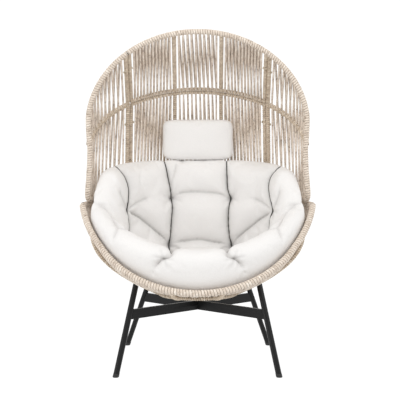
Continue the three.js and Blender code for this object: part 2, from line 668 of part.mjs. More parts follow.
/** The middle line of the roll round the cushion's edge, and the roll's radius there. */
function rollAt(angle) {
  const rim = rimAt(angle);
  if (angle > 180) {
    const forward = -sin(angle);
    const inset = between(FRONT_ROLL.sideInset, FRONT_ROLL.inset, forward);
    const inward = inset / Math.hypot(rim.x, rim.y - FRONT_RIM.centreY);
    const y = rim.y - (rim.y - FRONT_RIM.centreY * forward) * inward;
    const rise = between(FRONT_ROLL.sideRise, FRONT_ROLL.rise, forward ** FRONT_ROLL.ease);
    const place = vec(rim.x * (1 - inward), y, rim.z + rise);
    return { place, radius: between(FRONT_ROLL.sideRadius, FRONT_ROLL.radius, forward) };
  }
  const back = Math.max(0, sin(angle));
  const height = FRONT_RIM.z + BACK_ROLL.rise * back ** BACK_ROLL.ease;
  const place = vec(BACK_ROLL.halfWidth * cos(angle), BACK_ROLL.depth * back, height);
  return { place, radius: between(BACK_ROLL.sideRadius, BACK_ROLL.radius, back) };
}

/** The line where the seat turns up into the roll or the back. */
function seatCornerAt(angle) {
  const depth = sin(angle) < 0 ? SEAT.frontDepth : SEAT.rearDepth;
  const height = CUSHION.seatZ + SEAT.sideRise * Math.abs(cos(angle));
  return vec(SEAT.halfWidth * cos(angle), depth * sin(angle), height);
}

function cushionRings() {
  const angles = spread(0, 360 * (1 - 1 / CUSHION.around), CUSHION.around - 1)
    .map((angle) => angle + CUSHION.firstAngle);
  const rows = [[vec(0, 0, CUSHION.seatZ)]];
  const ringOf = (place) => rows.push(angles.map((angle) => place(angle % 360)));
  const onRoll = (turn) => ringOf((angle) => {
    const { place, radius } = rollAt(angle);
    const outward = vec(place.x, place.y, 0).normalize();
    return place.clone().addScaledVector(outward, radius * cos(turn)).add(vec(0, 0, radius * sin(turn)));
  });
  ringOf((angle) => seatCornerAt(angle).lerp(vec(0, 0, CUSHION.seatZ), 0.5));
  ringOf(seatCornerAt);
  ringOf((angle) => {
    const { place, radius } = rollAt(angle);
    const inner = place.clone().sub(vec(place.x, place.y, 0).setLength(radius));
    return inner.lerp(seatCornerAt(angle), 0.5);
  });
  ROLL_TURNS.forEach(onRoll);
  const underside = (drop) => (angle) => {
    const [[{ point, normal }]] = bowlGrid([angle], [drop]);
    return point.addScaledVector(normal, -CUSHION.clearance);
  };
  UNDERSIDE_DROPS.forEach((drop) => ringOf(underside(drop)));
  rows.push([vec(0, 0, CUSHION.footZ)]);
  return rows;
}
add("seat_cushion", closedRings(cushionRings()), fabric);

/** A rounded pad that leans back, closed at the middle of each face. */
function pillow() {
  const around = 24;
  const middleZ = PILLOW.baseZ + PILLOW.height / 2;
  const round = (value) => Math.sign(value) * Math.abs(value) ** PILLOW.squareness;
  const section = ([through, tall, wide]) => spread(0, 360 * (1 - 1 / around), around - 1).map((angle) => {
    const across = (PILLOW.width / 2) * round(cos(angle)) * wide;
    const up = (PILLOW.height / 2) * round(sin(angle)) * tall;
    return vec(across, PILLOW.y + through * PILLOW.depth - PILLOW.lean * up, middleZ + up);
  });
  const middle = ([through]) => [vec(0, PILLOW.y + through * PILLOW.depth, middleZ)];
  const rings = PILLOW_SECTIONS.map(section);
  return closedRings([middle(PILLOW_SECTIONS[0]), ...rings, middle(PILLOW_SECTIONS.at(-1))]);
}
add("head_pillow", pillow(), fabric);

// ---- Origin under the middle of the chair ----------------------------------------------------

const extent = new THREE.Box3().setFromObject(chair);
chair.position.y = -(extent.min.y + extent.max.y) / 2;

export default chair;
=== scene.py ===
"""Visual model of the egg lounge chair on its CAD frame: wound strands, cushions, finishes and set."""

import math
import random

import bmesh
import bpy
import numpy as np
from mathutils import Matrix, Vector
from mathutils.bvhtree import BVHTree


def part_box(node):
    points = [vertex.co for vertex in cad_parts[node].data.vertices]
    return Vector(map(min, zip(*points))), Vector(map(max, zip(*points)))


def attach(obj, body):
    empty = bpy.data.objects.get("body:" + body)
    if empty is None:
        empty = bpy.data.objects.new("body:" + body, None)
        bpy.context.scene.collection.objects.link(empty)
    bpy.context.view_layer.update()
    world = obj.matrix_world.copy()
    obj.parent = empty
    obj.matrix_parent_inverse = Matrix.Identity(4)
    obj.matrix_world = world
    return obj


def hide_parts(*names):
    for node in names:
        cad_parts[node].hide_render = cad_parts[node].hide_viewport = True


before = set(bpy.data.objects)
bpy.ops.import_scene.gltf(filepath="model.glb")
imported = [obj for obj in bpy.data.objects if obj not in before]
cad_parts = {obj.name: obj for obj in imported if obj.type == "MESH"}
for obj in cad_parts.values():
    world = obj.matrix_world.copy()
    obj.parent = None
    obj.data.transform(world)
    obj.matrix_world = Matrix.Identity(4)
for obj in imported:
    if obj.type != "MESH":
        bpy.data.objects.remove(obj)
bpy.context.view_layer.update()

random.seed(7)
noise_source = np.random.default_rng(7)

# ---- Sizes, in metres, in the chair's own frame ----

caps = [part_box(f"foot_cap_{end}_left") for end in ("front", "rear")]
SHIFT = sum((low.y + high.y) / 2 for low, high in caps) / 2
ORIGIN = np.array([0.0, SHIFT, 0.0])

HOOD = dict(half_width=0.478, base_z=1.020, rise=0.406, lean=-0.030, tube=0.0125)
HOOP = dict(half_width=0.475, depth=0.330, z=0.935, tilt=0.78, tube=0.012, centre_tube=0.0087)
RAIL = dict(half_width=0.484, depth=0.380, z=0.697, tube=0.0095)
INNER_RIB = dict(hood=0.103, hoop=0.109, rail=0.112, tube=0.010)
OUTER_RIB = dict(hood=0.305, hoop=0.317, rail=0.325, tube=0.0095, apart=0.016)
FRONT_RIM = dict(half_width=0.484, depth=0.430, centre_y=0.050, z=0.673, tilt=0.84, tube=0.014)
RIM_FLARE = dict(reach=0.026, span=0.55)
REAR_RIM = dict(depth=0.395, tube=0.013)
BASE_RING = dict(half_width=0.165, depth=0.150, z=0.293, tube=0.009)
BOWL_FAN = 0.5
BOWL_BULGE = dict(reach=1.0, height=0.5)
BOWL_RIB_ANGLES = [38, 142, 200, 340, 257, 283]
BOWL_RIB_TUBE = 0.009
BOWL_HOOP = dict(drop=0.52, tube=0.006)
BOWL_WEAVE = dict(inset=0.015, fade=0.12, end=0.97)
WING_BENDS = [(0.474, 0.001, 0.975), (0.470, 0.002, 0.925), (0.472, 0.006, 0.850),
              (0.478, 0.014, 0.775), (0.483, 0.026, 0.722), (0.482, 0.042, 0.700)]

RIM_WRAP_PITCH = 0.0120
HOOD_WRAP_PITCH = 0.0106
WRAP_PITCH = 0.0094
WRAP_RIDGE = 0.0028
HOOD_JOINT = 0.02
STRAND_RADIUS = 0.0045
WING_STRANDS = 11
STRAND_PITCH = 0.0192
SIDE_PITCH = 0.0165
STRAND_SHAKE = 0.03
PANEL_GAP = 0.012
# How much painted shade darkens the strands of a back layer; the lower side panels get less.
BACK_LAYER_SHADE = 0.33
LOWER_SIDE_SHADE = 0.12
LAYER_OFFSET = 0.0042

GAP = 0.0003
LEG = dict(radius=0.0124, foot=(0.330, 0.280), cap=0.014)
LEG_TOPS = dict(front=(-1, (0.253, 0.168, 0.372)), rear=(1, (0.205, 0.168, 0.362)))
STRAP = dict(thickness=0.004, gap=0.0008)

# ---- Curves of the shell ----


def sind(a):
    return math.sin(math.radians(a))


def cosd(a):
    return math.cos(math.radians(a))


def vec(x, y, z):
    return np.array([x, y, z], float)


def unit(v):
    return v / np.linalg.norm(v)


def mix(a, b, t):
    return a + (b - a) * t


def bearing(x, half_width):
    return math.degrees(math.acos(x / half_width))


def hood_at(a):
    up = sind(a)
    return vec(HOOD["half_width"] * cosd(a), HOOD["lean"] * up, HOOD["base_z"] + HOOD["rise"] * up)


def hoop_at(a):
    y = HOOP["depth"] * sind(a)
    return vec(HOOP["half_width"] * cosd(a), y, HOOP["z"] + HOOP["tilt"] * y)


def rail_at(a):
    return vec(RAIL["half_width"] * cosd(a), RAIL["depth"] * sind(a), RAIL["z"])


def stacked_hoop_at(a, side):
    middle = hoop_at(a)
    direction = unit(unit(hood_at(a) - middle) + unit(middle - rail_at(a)))
    return middle + direction * side * (HOOP["centre_tube"] + GAP)


def upper_hoop_at(a):
    return stacked_hoop_at(a, 1)


def lower_hoop_at(a):
    return stacked_hoop_at(a, -1)


KNOB = math.degrees(math.asin(FRONT_RIM["centre_y"] / FRONT_RIM["depth"]))


def front_rim_at(a):
    flare = RIM_FLARE["reach"] * max(0, 1 - sind(a) / RIM_FLARE["span"])
    y = FRONT_RIM["centre_y"] - FRONT_RIM["depth"] * sind(a)
    return vec((FRONT_RIM["half_width"] + flare) * cosd(a), y, FRONT_RIM["z"] + FRONT_RIM["tilt"] * y)


RIM_HALF_WIDTH = front_rim_at(KNOB)[0]


def rim_at(a):
    a = a % 360
    if a <= 180:
        return vec(RIM_HALF_WIDTH * cosd(a), REAR_RIM["depth"] * sind(a), FRONT_RIM["z"])
    below = 360 - a
    turned = below if below <= 90 else 180 - below
    point = front_rim_at(mix(KNOB, 90, turned / 90))
    return point if below <= 90 else point * vec(-1, 1, 1)


def base_ring_at(a):
    turned = math.atan2(BOWL_FAN * sind(a), cosd(a))
    x = BASE_RING["half_width"] * math.cos(turned)
    return vec(x, BASE_RING["depth"] * math.sin(turned), BASE_RING["z"])


def bowl_at(a, drop):
    rim = rim_at(a)
    base = base_ring_at(a)
    reach = BOWL_BULGE["reach"]
    bulge = vec(rim[0] * reach, rim[1] * reach, mix(base[2], rim[2], BOWL_BULGE["height"]))
    return (1 - drop) ** 2 * rim + 2 * drop * (1 - drop) * bulge + drop ** 2 * base


def bowl_normal(a, drop):
    small = 1e-3
    along = bowl_at(a + small, drop) - bowl_at(a - small, drop)
    down = bowl_at(a, drop + small) - bowl_at(a, drop - small)
    normal = unit(np.cross(along, down))
    point = bowl_at(a, drop)
    return normal if np.dot(normal, point - vec(0, 0, 0.72)) > 0 else -normal


LINES = dict(hood=HOOD, hoop=HOOP, rail=RAIL)


def rib_bearings(rib, shift=0.0):
    """Where a rib meets the hood, the hoop and the rail, as bearings."""
    return {line: bearing(rib[line] + shift, size["half_width"]) for line, size in LINES.items()}


OUTER = rib_bearings(OUTER_RIB)
INNER = rib_bearings(INNER_RIB)


def rib_stations(rib, side, shift=0.0):
    """The points where a rib meets each line of the shell."""
    at = rib_bearings(rib, shift)
    points = dict(hood=hood_at(at["hood"]), hoop=hoop_at(at["hoop"]), rail=rail_at(at["rail"]),
                  upper=upper_hoop_at(at["hoop"]), lower=lower_hoop_at(at["hoop"]))
    return {line: point * vec(side, 1, 1) for line, point in points.items()}


def arc(at, start, end, count=160):
    return np.array([at(a) for a in np.linspace(start, end, count)])


def passing(s, start, end, a, b):
    """The value at s of a line that has the value a at the start and b at the end."""
    return (end - s) / (end - start) * a + (s - start) / (end - start) * b


def smooth_path(points, count=240):
    """A centripetal Catmull-Rom curve through the points."""
    pts = [np.array(p, float) for p in points]
    pts = [2 * pts[0] - pts[1]] + pts + [2 * pts[-1] - pts[-2]]
    spans = len(pts) - 3
    result = []
    for k in range(spans):
        p = pts[k:k + 4]
        t = [0.0]
        for i in range(3):
            t.append(t[-1] + max(np.linalg.norm(p[i + 1] - p[i]), 1e-6) ** 0.5)
        steps = max(2, count // spans)
        for s in np.linspace(t[1], t[2], steps, endpoint=k == spans - 1):
            single = [passing(s, t[i], t[i + 1], p[i], p[i + 1]) for i in range(3)]
            double = [passing(s, t[i], t[i + 2], single[i], single[i + 1]) for i in range(2)]
            result.append(passing(s, t[1], t[2], *double))
    return np.array(result)


def wing_edge_path(side):
    """Down the hood, down the wing's front edge, and back along the bottom rail."""
    points = [hood_at(a) for a in np.linspace(OUTER["hood"] - HOOD_JOINT, 6, 9)]
    points += [vec(*bend) for bend in WING_BENDS]
    points += [rail_at(a) for a in np.linspace(12, OUTER["rail"] - 1, 6)]
    return smooth_path(points) * vec(side, 1, 1)


# ---- Materials ----


class Finish:
    """A principled material with a few procedural nodes."""

    def __init__(self, name, roughness, metallic=0.0, **inputs):
        self.material = bpy.data.materials.new(name)
        self.material.use_nodes = True
        self.tree = self.material.node_tree
        self.shader = self.tree.nodes["Principled BSDF"]
        self.shader.inputs["Roughness"].default_value = roughness
        self.shader.inputs["Metallic"].default_value = metallic
        for key, value in inputs.items():
            self.shader.inputs[key.replace("_", " ")].default_value = value

    def node(self, kind, links=(), **settings):
        node = self.tree.nodes.new(kind)
        for key, value in settings.items():
            setattr(node, key, value)
        for socket, source in dict(links).items():
            if isinstance(source, bpy.types.NodeSocket):
                self.tree.links.new(source, node.inputs[socket])
            else:
                node.inputs[socket].default_value = source
        return node

    def noise(self, vector, scale, detail, **more):
        inputs = {"Vector": vector, "Scale": scale, "Detail": detail, **more}
        return self.node("ShaderNodeTexNoise", inputs).outputs["Fac"]

    def ramp(self, factor, stops):
        node = self.node("ShaderNodeValToRGB", {"Fac": factor})
        elements = node.color_ramp.elements
        while len(elements) < len(stops):
            elements.new(0.5)
        for element, (position, color) in zip(elements, stops):
            element.position = position
            element.color = (*color, 1)
        return node.outputs["Color"]

    def bump(self, height, distance, strength=1.0):
        node = self.node("ShaderNodeBump", {"Height": height, "Distance": distance, "Strength": strength})
        self.tree.links.new(node.outputs["Normal"], self.shader.inputs["Normal"])

    def color(self, socket):
        self.tree.links.new(socket, self.shader.inputs["Base Color"])

    def darkened(self, share, plain, dark):
        """The plain colour, turned towards the dark one by a share from 0 to 1."""
        both = {"Factor": share, "A": plain, "B": (*linear(*dark), 1)}
        self.color(self.node("ShaderNodeMix", both, data_type="RGBA").outputs["Result"])


def linear(*srgb):
    return tuple(((c / 255 + 0.055) / 1.055) ** 2.4 if c > 10 else c / 255 / 12.92 for c in srgb)


def strand_finish(name, dark, middle, light):
    """Flecked plastic strand. Its texture runs along the strand, in metres: U along, V across. A point
    attribute darkens the colour as painted shade, in the grooves of wound tubes and on the strands of a
    back layer.
    """
    finish = Finish(name, 0.62, Specular_IOR_Level=0.3)
    uv = finish.node("ShaderNodeUVMap", uv_map="strand").outputs["UV"]
    stretched = finish.node("ShaderNodeMapping", {"Vector": uv, "Scale": (110, 420, 1)}).outputs["Vector"]
    fleck = finish.noise(stretched, 1.0, 2.5, Roughness=0.6)
    broad_uv = finish.node("ShaderNodeMapping", {"Vector": uv, "Scale": (26, 30, 1)}).outputs["Vector"]
    broad = finish.noise(broad_uv, 1.0, 1.0)
    both = finish.node("ShaderNodeMix", {"Factor": 0.35, "A": fleck, "B": broad})
    tones = [(0.36, dark), (0.45, middle), (0.54, middle), (0.62, light)]
    flecked = finish.ramp(both.outputs["Result"], [(place, linear(*tone)) for place, tone in tones])
    # Painted shade from a point attribute: the grooves between wraps and the back layer of strands darken
    # towards brown.
    painted_shade = finish.node("ShaderNodeAttribute", attribute_name="painted_shade").outputs["Fac"]
    depth = finish.node("ShaderNodeMath", {0: painted_shade, 1: 0.75}, operation="MULTIPLY").outputs["Value"]
    finish.darkened(depth, flecked, (96, 78, 62))
    finish.bump(fleck, 0.0004, 0.6)
    return finish.material


STRAND = strand_finish("strand", (112, 92, 74), (227, 213, 198), (255, 248, 238))
# The ribs' strand is the same plastic as the other strands, made darker as painted shade for the less light
# that reaches the ribs.
SHADED_RIB_STRAND = strand_finish("rib_strand", (100, 80, 60), (210, 193, 172), (250, 240, 224))
RIM = strand_finish("rim_strand", (146, 126, 106), (224, 210, 195), (252, 245, 234))


def fabric_finish(name, color):
    """Plain-woven outdoor fabric: crossing threads as a fine bump, with a faint unevenness of tone, and
    painted shade from a point attribute along seams, creases and tufts.
    """
    finish = Finish(name, 0.88, Specular_IOR_Level=0.25, Sheen_Weight=0.12, Sheen_Roughness=0.5)
    place = finish.node("ShaderNodeTexCoord").outputs["Object"]
    tone = finish.noise(place, 420.0, 3.0)
    darker = tuple(c * 0.94 for c in linear(*color))
    plain = finish.ramp(tone, [(0.35, darker), (0.62, linear(*color))])
    # Painted shade: a point attribute darkens the fabric along its seams, creases and tufts.
    painted_fold_shade = finish.node("ShaderNodeAttribute", attribute_name="painted_fold_shade").outputs["Fac"]
    finish.darkened(painted_fold_shade, plain, (92, 86, 80))
    weave = {"Vector": place, "Scale": 330.0, "Distortion": 0.6}
    threads = [finish.node("ShaderNodeTexWave", weave, bands_direction=axis) for axis in ("X", "Z")]
    crossed = {0: threads[0].outputs["Fac"], 1: threads[1].outputs["Fac"]}
    cloth = finish.node("ShaderNodeMath", crossed, operation="MULTIPLY")
    finish.bump(cloth.outputs["Value"], 0.00025, 0.35)
    return finish.material


CUSHION_FABRIC = fabric_finish("cushion_fabric", (240, 238, 236))
PILLOW_FABRIC = fabric_finish("pillow_fabric", (240, 238, 236))


def plain_finish(name, color, roughness, metallic, grain, depth, specular=0.5):
    finish = Finish(name, roughness, metallic, Specular_IOR_Level=specular)
    place = finish.node("ShaderNodeTexCoord").outputs["Object"]
    tone = finish.noise(place, grain, 2.0)
    stops = [(0.3, tuple(c * 0.8 for c in linear(*color))), (0.7, linear(*color))]
    finish.color(finish.ramp(tone, stops))
    finish.bump(tone, depth)
    return finish.material


BLACK_METAL = plain_finish("black_metal", (11, 11, 12), 0.30, 0.0, 900.0, 0.0002, 0.32)
FOOT_PLASTIC = plain_finish("foot_plastic", (34, 34, 34), 0.55, 0.0, 500.0, 0.0001)
BOLT_STEEL = plain_finish("bolt_steel", (196, 182, 156), 0.38, 0.6, 700.0, 0.0001)
# Dark grey of the seam cords, which also paints the shade line along each seam.
SEAM_SHADE_CORD = plain_finish("seam_cord", (74, 73, 70), 0.85, 0.0, 1500.0, 0.0002)

# ---- Mesh helpers ----


def mesh_piece(name, vertices, faces, material, body, uvs=None, smooth=True):
    mesh = bpy.data.meshes.new(name)
    mesh.from_pydata((np.asarray(vertices) + ORIGIN).tolist(), [], [list(map(int, f)) for f in faces])
    if uvs is not None:
        layer = mesh.uv_layers.new(name="strand")
        layer.data.foreach_set("uv", np.asarray(uvs, np.float32).ravel())
    mesh.polygons.foreach_set("use_smooth", np.full(len(mesh.polygons), smooth))
    mesh.materials.append(material)
    piece = bpy.data.objects.new(name, mesh)
    bpy.context.scene.collection.objects.link(piece)
    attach(piece, body)
    return piece


def lengths_along(points):
    return np.concatenate([[0], np.cumsum(np.linalg.norm(np.diff(points, axis=0), axis=1))])


def resample(points, step):
    points = np.asarray(points, float)
    lengths = lengths_along(points)
    count = max(2, int(round(lengths[-1] / step)) + 1)
    at = np.linspace(0, lengths[-1], count)
    return np.stack([np.interp(at, lengths, points[:, k]) for k in range(3)], 1), lengths[-1]


def carried_frames(points):
    """A pair of side directions at each point, carried along the path without twisting."""
    tangents = np.gradient(points, axis=0)
    tangents /= np.linalg.norm(tangents, axis=1)[:, None]
    guide = vec(0, 0, 1) if abs(tangents[0][2]) < 0.9 else vec(1, 0, 0)
    side = unit(np.cross(tangents[0], guide))
    sides = []
    for tangent in tangents:
        side = unit(side - tangent * np.dot(side, tangent))
        sides.append(side)
    sides = np.array(sides)
    return tangents, sides, np.cross(tangents, sides)


def wound_tube(points, radius, around=14, pitch=WRAP_PITCH, ridge=WRAP_RIDGE):
    """A tube wound with strand: a ridge that runs round it once per pitch.
    Gives the vertices, the faces, the UVs and the painted shade of each vertex: 1 in a groove, 0 elsewhere."""
    per_turn = 6
    line, _ = resample(points, pitch / per_turn)
    last = len(line) - 1
    _, side, up = carried_frames(line)
    i = np.arange(len(line) + per_turn + 1)[:, None]
    j = np.arange(around)[None, :]
    place = np.clip(i - per_turn + per_turn * j / around, 0, last)
    turn = 2 * np.pi * j / around
    across = (i % per_turn) / per_turn + 0 * turn
    profile = radius - ridge * (1 - np.sqrt(np.clip(1 - (2 * across - 1) ** 2, 0, 1)))
    low = np.floor(place).astype(int)
    high = np.minimum(low + 1, last)
    part = (place - low)[..., None]

    def pick(values):
        return values[low] * (1 - part) + values[high] * part

    profile = profile - np.abs(noise_source.normal(0, 0.0002, place.shape))
    out = profile[..., None] * (pick(side) * np.cos(turn)[..., None] + pick(up) * np.sin(turn)[..., None])
    vertices = (pick(line) + out).reshape(-1, 3)
    # Painted shade: the ring of vertices at each groove is marked to be darkened.
    painted_shade = np.where(across == 0, 1.0, 0.0).ravel()
    rows = len(i) - per_turn
    column = np.arange(around + 1)[None, :]
    row = np.arange(rows)[:, None]
    grid = np.where(column == around, (row + per_turn) * around, row * around + column)
    faces = np.stack([grid[:-1, :-1], grid[:-1, 1:], grid[1:, 1:], grid[1:, :-1]], -1).reshape(-1, 4)
    k = np.arange(rows - 1)[:, None]
    start = random.uniform(0, 50)
    once = 2 * np.pi * radius
    u0 = start + (k // per_turn + j / around) * once
    u1 = u0 + once / around
    v0 = (k % per_turn) / per_turn * pitch + 0 * j
    v1 = v0 + pitch / per_turn
    uvs = np.stack([u0, v0, u1, v0, u1, v1, u0, v1], -1).reshape(-1, 2)
    return vertices, faces, uvs, painted_shade


def strand_mesh(lines, radius=STRAND_RADIUS, around=6):
    """Round strands along many lines, as one mesh. Each line is an array of points."""
    vertices, faces, uvs = [], [], []
    base = 0
    for points in lines:
        points = np.asarray(points, float)
        rows = len(points)
        _, side, up = carried_frames(points)
        turn = 2 * np.pi * np.arange(around) / around
        ring = side[:, None] * np.cos(turn)[None, :, None] + up[:, None] * np.sin(turn)[None, :, None]
        vertices.append((points[:, None] + radius * ring).reshape(-1, 3))
        lengths = lengths_along(points)
        offset = random.uniform(0, 50)
        for i in range(rows - 1):
            a = base + i * around
            for j in range(around):
                k = (j + 1) % around
                faces.append([a + j, a + k, a + around + k, a + around + j])
                v0 = j / around * 2 * np.pi * radius
                v1 = (j + 1) / around * 2 * np.pi * radius
                u0 = offset + lengths[i]
                u1 = offset + lengths[i + 1]
                uvs += [u0, v0, u0, v1, u1, v1, u1, v0]
        base += rows * around
    return np.concatenate(vertices), faces, np.array(uvs).reshape(-1, 2)


# ---- Wound tubes ----


def wound_piece(name, points, radius, material=SHADED_RIB_STRAND, slot="woven_strand", **options):
    vertices, faces, uvs, painted_shade = wound_tube(points, radius, **options)
    piece = mesh_piece(f"{name}_wound", vertices, faces, material, "frame", uvs)
    piece.data.attributes.new("painted_shade", "FLOAT", "POINT").data.foreach_set("value", painted_shade)
    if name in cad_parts:
        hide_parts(name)


def side_name(side):
    return "left" if side < 0 else "right"


def bar(a, b):
    return np.array([mix(a, b, t) for t in np.linspace(0, 1, 40)])


for side in (-1, 1):
    name = side_name(side)
    mirror = vec(side, 1, 1)
    wound_piece(f"wing_edge_{name}", wing_edge_path(side), HOOD["tube"], RIM, "rim_wrap",
                around=18, pitch=HOOD_WRAP_PITCH)
    wing = rib_stations(OUTER_RIB, side, OUTER_RIB["apart"] / 2)
    below = wing["hoop"] + unit(wing["rail"] - wing["hoop"]) * 0.03
    above = wing["hoop"] + unit(wing["hood"] - wing["hoop"]) * 0.03
    bend = np.array([(1 - t) ** 2 * below + 2 * t * (1 - t) * wing["hoop"] + t * t * above
                     for t in np.linspace(0, 1, 12)])
    rib_path = np.concatenate([bar(wing["rail"], below)[:-1], bend, bar(above, wing["hood"])[1:]])
    wound_piece(f"wing_rib_{name}", rib_path, OUTER_RIB["tube"])
    wound_piece(f"wing_hoop_{name}", arc(hoop_at, 1, OUTER["hoop"] - 0.5) * mirror, HOOP["tube"])
    centre = rib_stations(OUTER_RIB, side, -OUTER_RIB["apart"] / 2)
    inner = rib_stations(INNER_RIB, side)
    for place, ends, rib in (("outer", centre, OUTER_RIB), ("inner", inner, INNER_RIB)):
        wound_piece(f"upper_{place}_rib_{name}", bar(ends["upper"], ends["hood"]), rib["tube"])
        wound_piece(f"lower_{place}_rib_{name}", bar(ends["rail"], ends["lower"]), rib["tube"])

hood_line = arc(hood_at, OUTER["hood"] + HOOD_JOINT, 180 - HOOD_JOINT - OUTER["hood"], 400)
wound_piece("hood_rim_centre", hood_line, HOOD["tube"], RIM, "rim_wrap", around=18, pitch=HOOD_WRAP_PITCH)
wound_piece("upper_hoop", arc(upper_hoop_at, OUTER["hoop"], 180 - OUTER["hoop"], 300), HOOP["centre_tube"])
wound_piece("lower_hoop", arc(lower_hoop_at, OUTER["hoop"], 180 - OUTER["hoop"], 300), HOOP["centre_tube"])
wound_piece("back_bottom_rail", arc(rail_at, OUTER["rail"], 180 - OUTER["rail"], 300), RAIL["tube"])
wound_piece("seat_rim_front", arc(rim_at, 180.001, 359.999, 500), FRONT_RIM["tube"], RIM, "rim_wrap",
            around=20, pitch=RIM_WRAP_PITCH)
wound_piece("seat_rim_rear", arc(rim_at, 1.5, 178.5, 400), REAR_RIM["tube"], RIM, "rim_wrap",
            around=18, pitch=RIM_WRAP_PITCH)
ring_line = arc(base_ring_at, -5, 365, 400)
wound_piece("base_ring", ring_line, BASE_RING["tube"])
for number, angle in enumerate(BOWL_RIB_ANGLES, 1):
    line = np.array([bowl_at(angle, t) for t in np.linspace(0, 1, 60)])
    wound_piece(f"bowl_rib_{number}", line, BOWL_RIB_TUBE)

# A hoop inside the bowl, halfway down, that the bowl's strands pass over.
hoop_inset = BOWL_WEAVE["inset"] + BOWL_HOOP["tube"]
hoop_in_bowl = np.array([
    bowl_at(a, BOWL_HOOP["drop"]) - bowl_normal(a, BOWL_HOOP["drop"]) * hoop_inset
    for a in np.linspace(0, 360, 361)
])
wound_piece("bowl_hoop", hoop_in_bowl, BOWL_HOOP["tube"])

# ---- Strands ----


def along_line(at, start, end, count):
    """Parameters that divide a line into equal lengths."""
    angles = np.linspace(start, end, 400)
    lengths = lengths_along(np.array([at(a) for a in angles]))
    return np.interp(np.linspace(0, lengths[-1], count + 1), lengths, angles), lengths[-1]


def panel_strands(lower, upper, lower_span, upper_span, mirror=1, count=None, pitch=STRAND_PITCH,
                  back_shade=BACK_LAYER_SHADE):
    """Two layers of strands over a panel: a straight one in front, and one slanted by a pitch behind.
    Gives their lines and how much painted shade darkens each: the back layer by back_shade, the front one
    not at all."""
    _, length = along_line(lower, *lower_span, 10)
    _, other = along_line(upper, *upper_span, 10)
    count = count or max(3, round((length + other) / 2 / pitch))
    low_angles, _ = along_line(lower, *lower_span, count)
    high_angles, _ = along_line(upper, *upper_span, count)
    lines, shades = [], []
    for k in range(count):
        for layer in (0, 1):
            low_k, high_k = k + 0.5, k + 0.5 + layer
            if high_k > count:
                continue
            steps = np.arange(count + 1)
            shake = [random.gauss(0, STRAND_SHAKE) for _ in range(2)]
            low_angle = np.interp(low_k + shake[0], steps, low_angles)
            high_angle = np.interp(high_k + shake[1], steps, high_angles)
            a, b = lower(low_angle), upper(high_angle)
            across = lower(low_angle + 0.2) - lower(low_angle - 0.2)
            normal = unit(np.cross(across, b - a))
            outward = vec(a[0], a[1] + 0.1, 0)
            if np.dot(normal, outward) < 0:
                normal = -normal
            offset = normal * (LAYER_OFFSET if layer else -LAYER_OFFSET)
            lines.append(np.array([a + offset, mix(a, b, 0.5) + offset, b + offset]) * vec(mirror, 1, 1))
            shades.append(back_shade * layer)
    return lines, shades


def strand_piece(node, lines, shades):
    around = 6
    vertices, faces, uvs = strand_mesh(lines, around=around)
    piece = mesh_piece(f"{node}_strands", vertices, faces, STRAND, "frame", uvs)
    # The painted shade of each strand, as a point attribute for the strand material.
    shade = np.concatenate([np.full(len(line) * around, value) for line, value in zip(lines, shades)])
    piece.data.attributes.new("painted_shade", "FLOAT", "POINT").data.foreach_set("value", shade)
    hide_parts(node)


apart = math.degrees(PANEL_GAP / HOOP["half_width"])
WING_STARTS = dict(hood=5, hoop=3, rail=5)
wing_spans = {line: (start, OUTER[line] - 2 * apart) for line, start in WING_STARTS.items()}
side_spans = {line: (OUTER[line] + 2 * apart, INNER[line] - apart) for line in OUTER}
middle_spans = {line: (INNER[line] + apart, 180 - INNER[line] - apart) for line in OUTER}


def panel(name, low_at, high_at, spans, side=1, **options):
    """An upper panel, from a hoop to the hood, or a lower one, from the rail to a hoop."""
    low, high = ("hoop", "hood") if high_at is hood_at else ("rail", "hoop")
    strand_piece(name, *panel_strands(low_at, high_at, spans[low], spans[high], side, **options))


for side in (-1, 1):
    name = side_name(side)
    panel(f"wing_weave_upper_{name}", hoop_at, hood_at, wing_spans, side, count=WING_STRANDS)
    panel(f"wing_weave_lower_{name}", rail_at, hoop_at, wing_spans, side, count=WING_STRANDS)
    panel(f"back_weave_upper_{name}", upper_hoop_at, hood_at, side_spans, side, pitch=SIDE_PITCH)
    panel(f"back_weave_lower_{name}", rail_at, lower_hoop_at, side_spans, side, pitch=SIDE_PITCH,
          back_shade=LOWER_SIDE_SHADE)
panel("back_weave_upper_middle", upper_hoop_at, hood_at, middle_spans)
panel("back_weave_lower_middle", rail_at, lower_hoop_at, middle_spans)


def bowl_lines(start, end):
    """Strands down the bowl: dense above the inner hoop, thinned out below it, in two layers. Gives their
    lines and their painted shade: the inner layer is darkened.
    """
    angles, length = along_line(rim_at, start, end, 10)
    count = round(length / STRAND_PITCH)
    angles, _ = along_line(rim_at, start, end, count)
    steps = np.arange(count + 1)
    lines, shades = [], []
    for k in range(count):
        for layer in (0, 1):
            inset = BOWL_WEAVE["inset"] + (LAYER_OFFSET if layer == 0 else -LAYER_OFFSET)
            bottom = BOWL_WEAVE["end"] if k % 3 else BOWL_HOOP["drop"]
            points = []
            for drop in np.linspace(0, bottom, 9):
                slant = (drop / BOWL_WEAVE["end"]) * layer
                a = np.interp(k + 0.5 + slant, steps, angles)
                depth = inset * min(1, drop / BOWL_WEAVE["fade"])
                points.append(bowl_at(a, drop) - bowl_normal(a, max(drop, 0.01)) * depth)
            lines.append(np.array(points))
            shades.append(BACK_LAYER_SHADE * (1 - layer))
    return lines, shades


strand_piece("bowl_weave_rear", *bowl_lines(0.5, 179.5))
strand_piece("bowl_weave_front", *bowl_lines(180.5, 359.5))

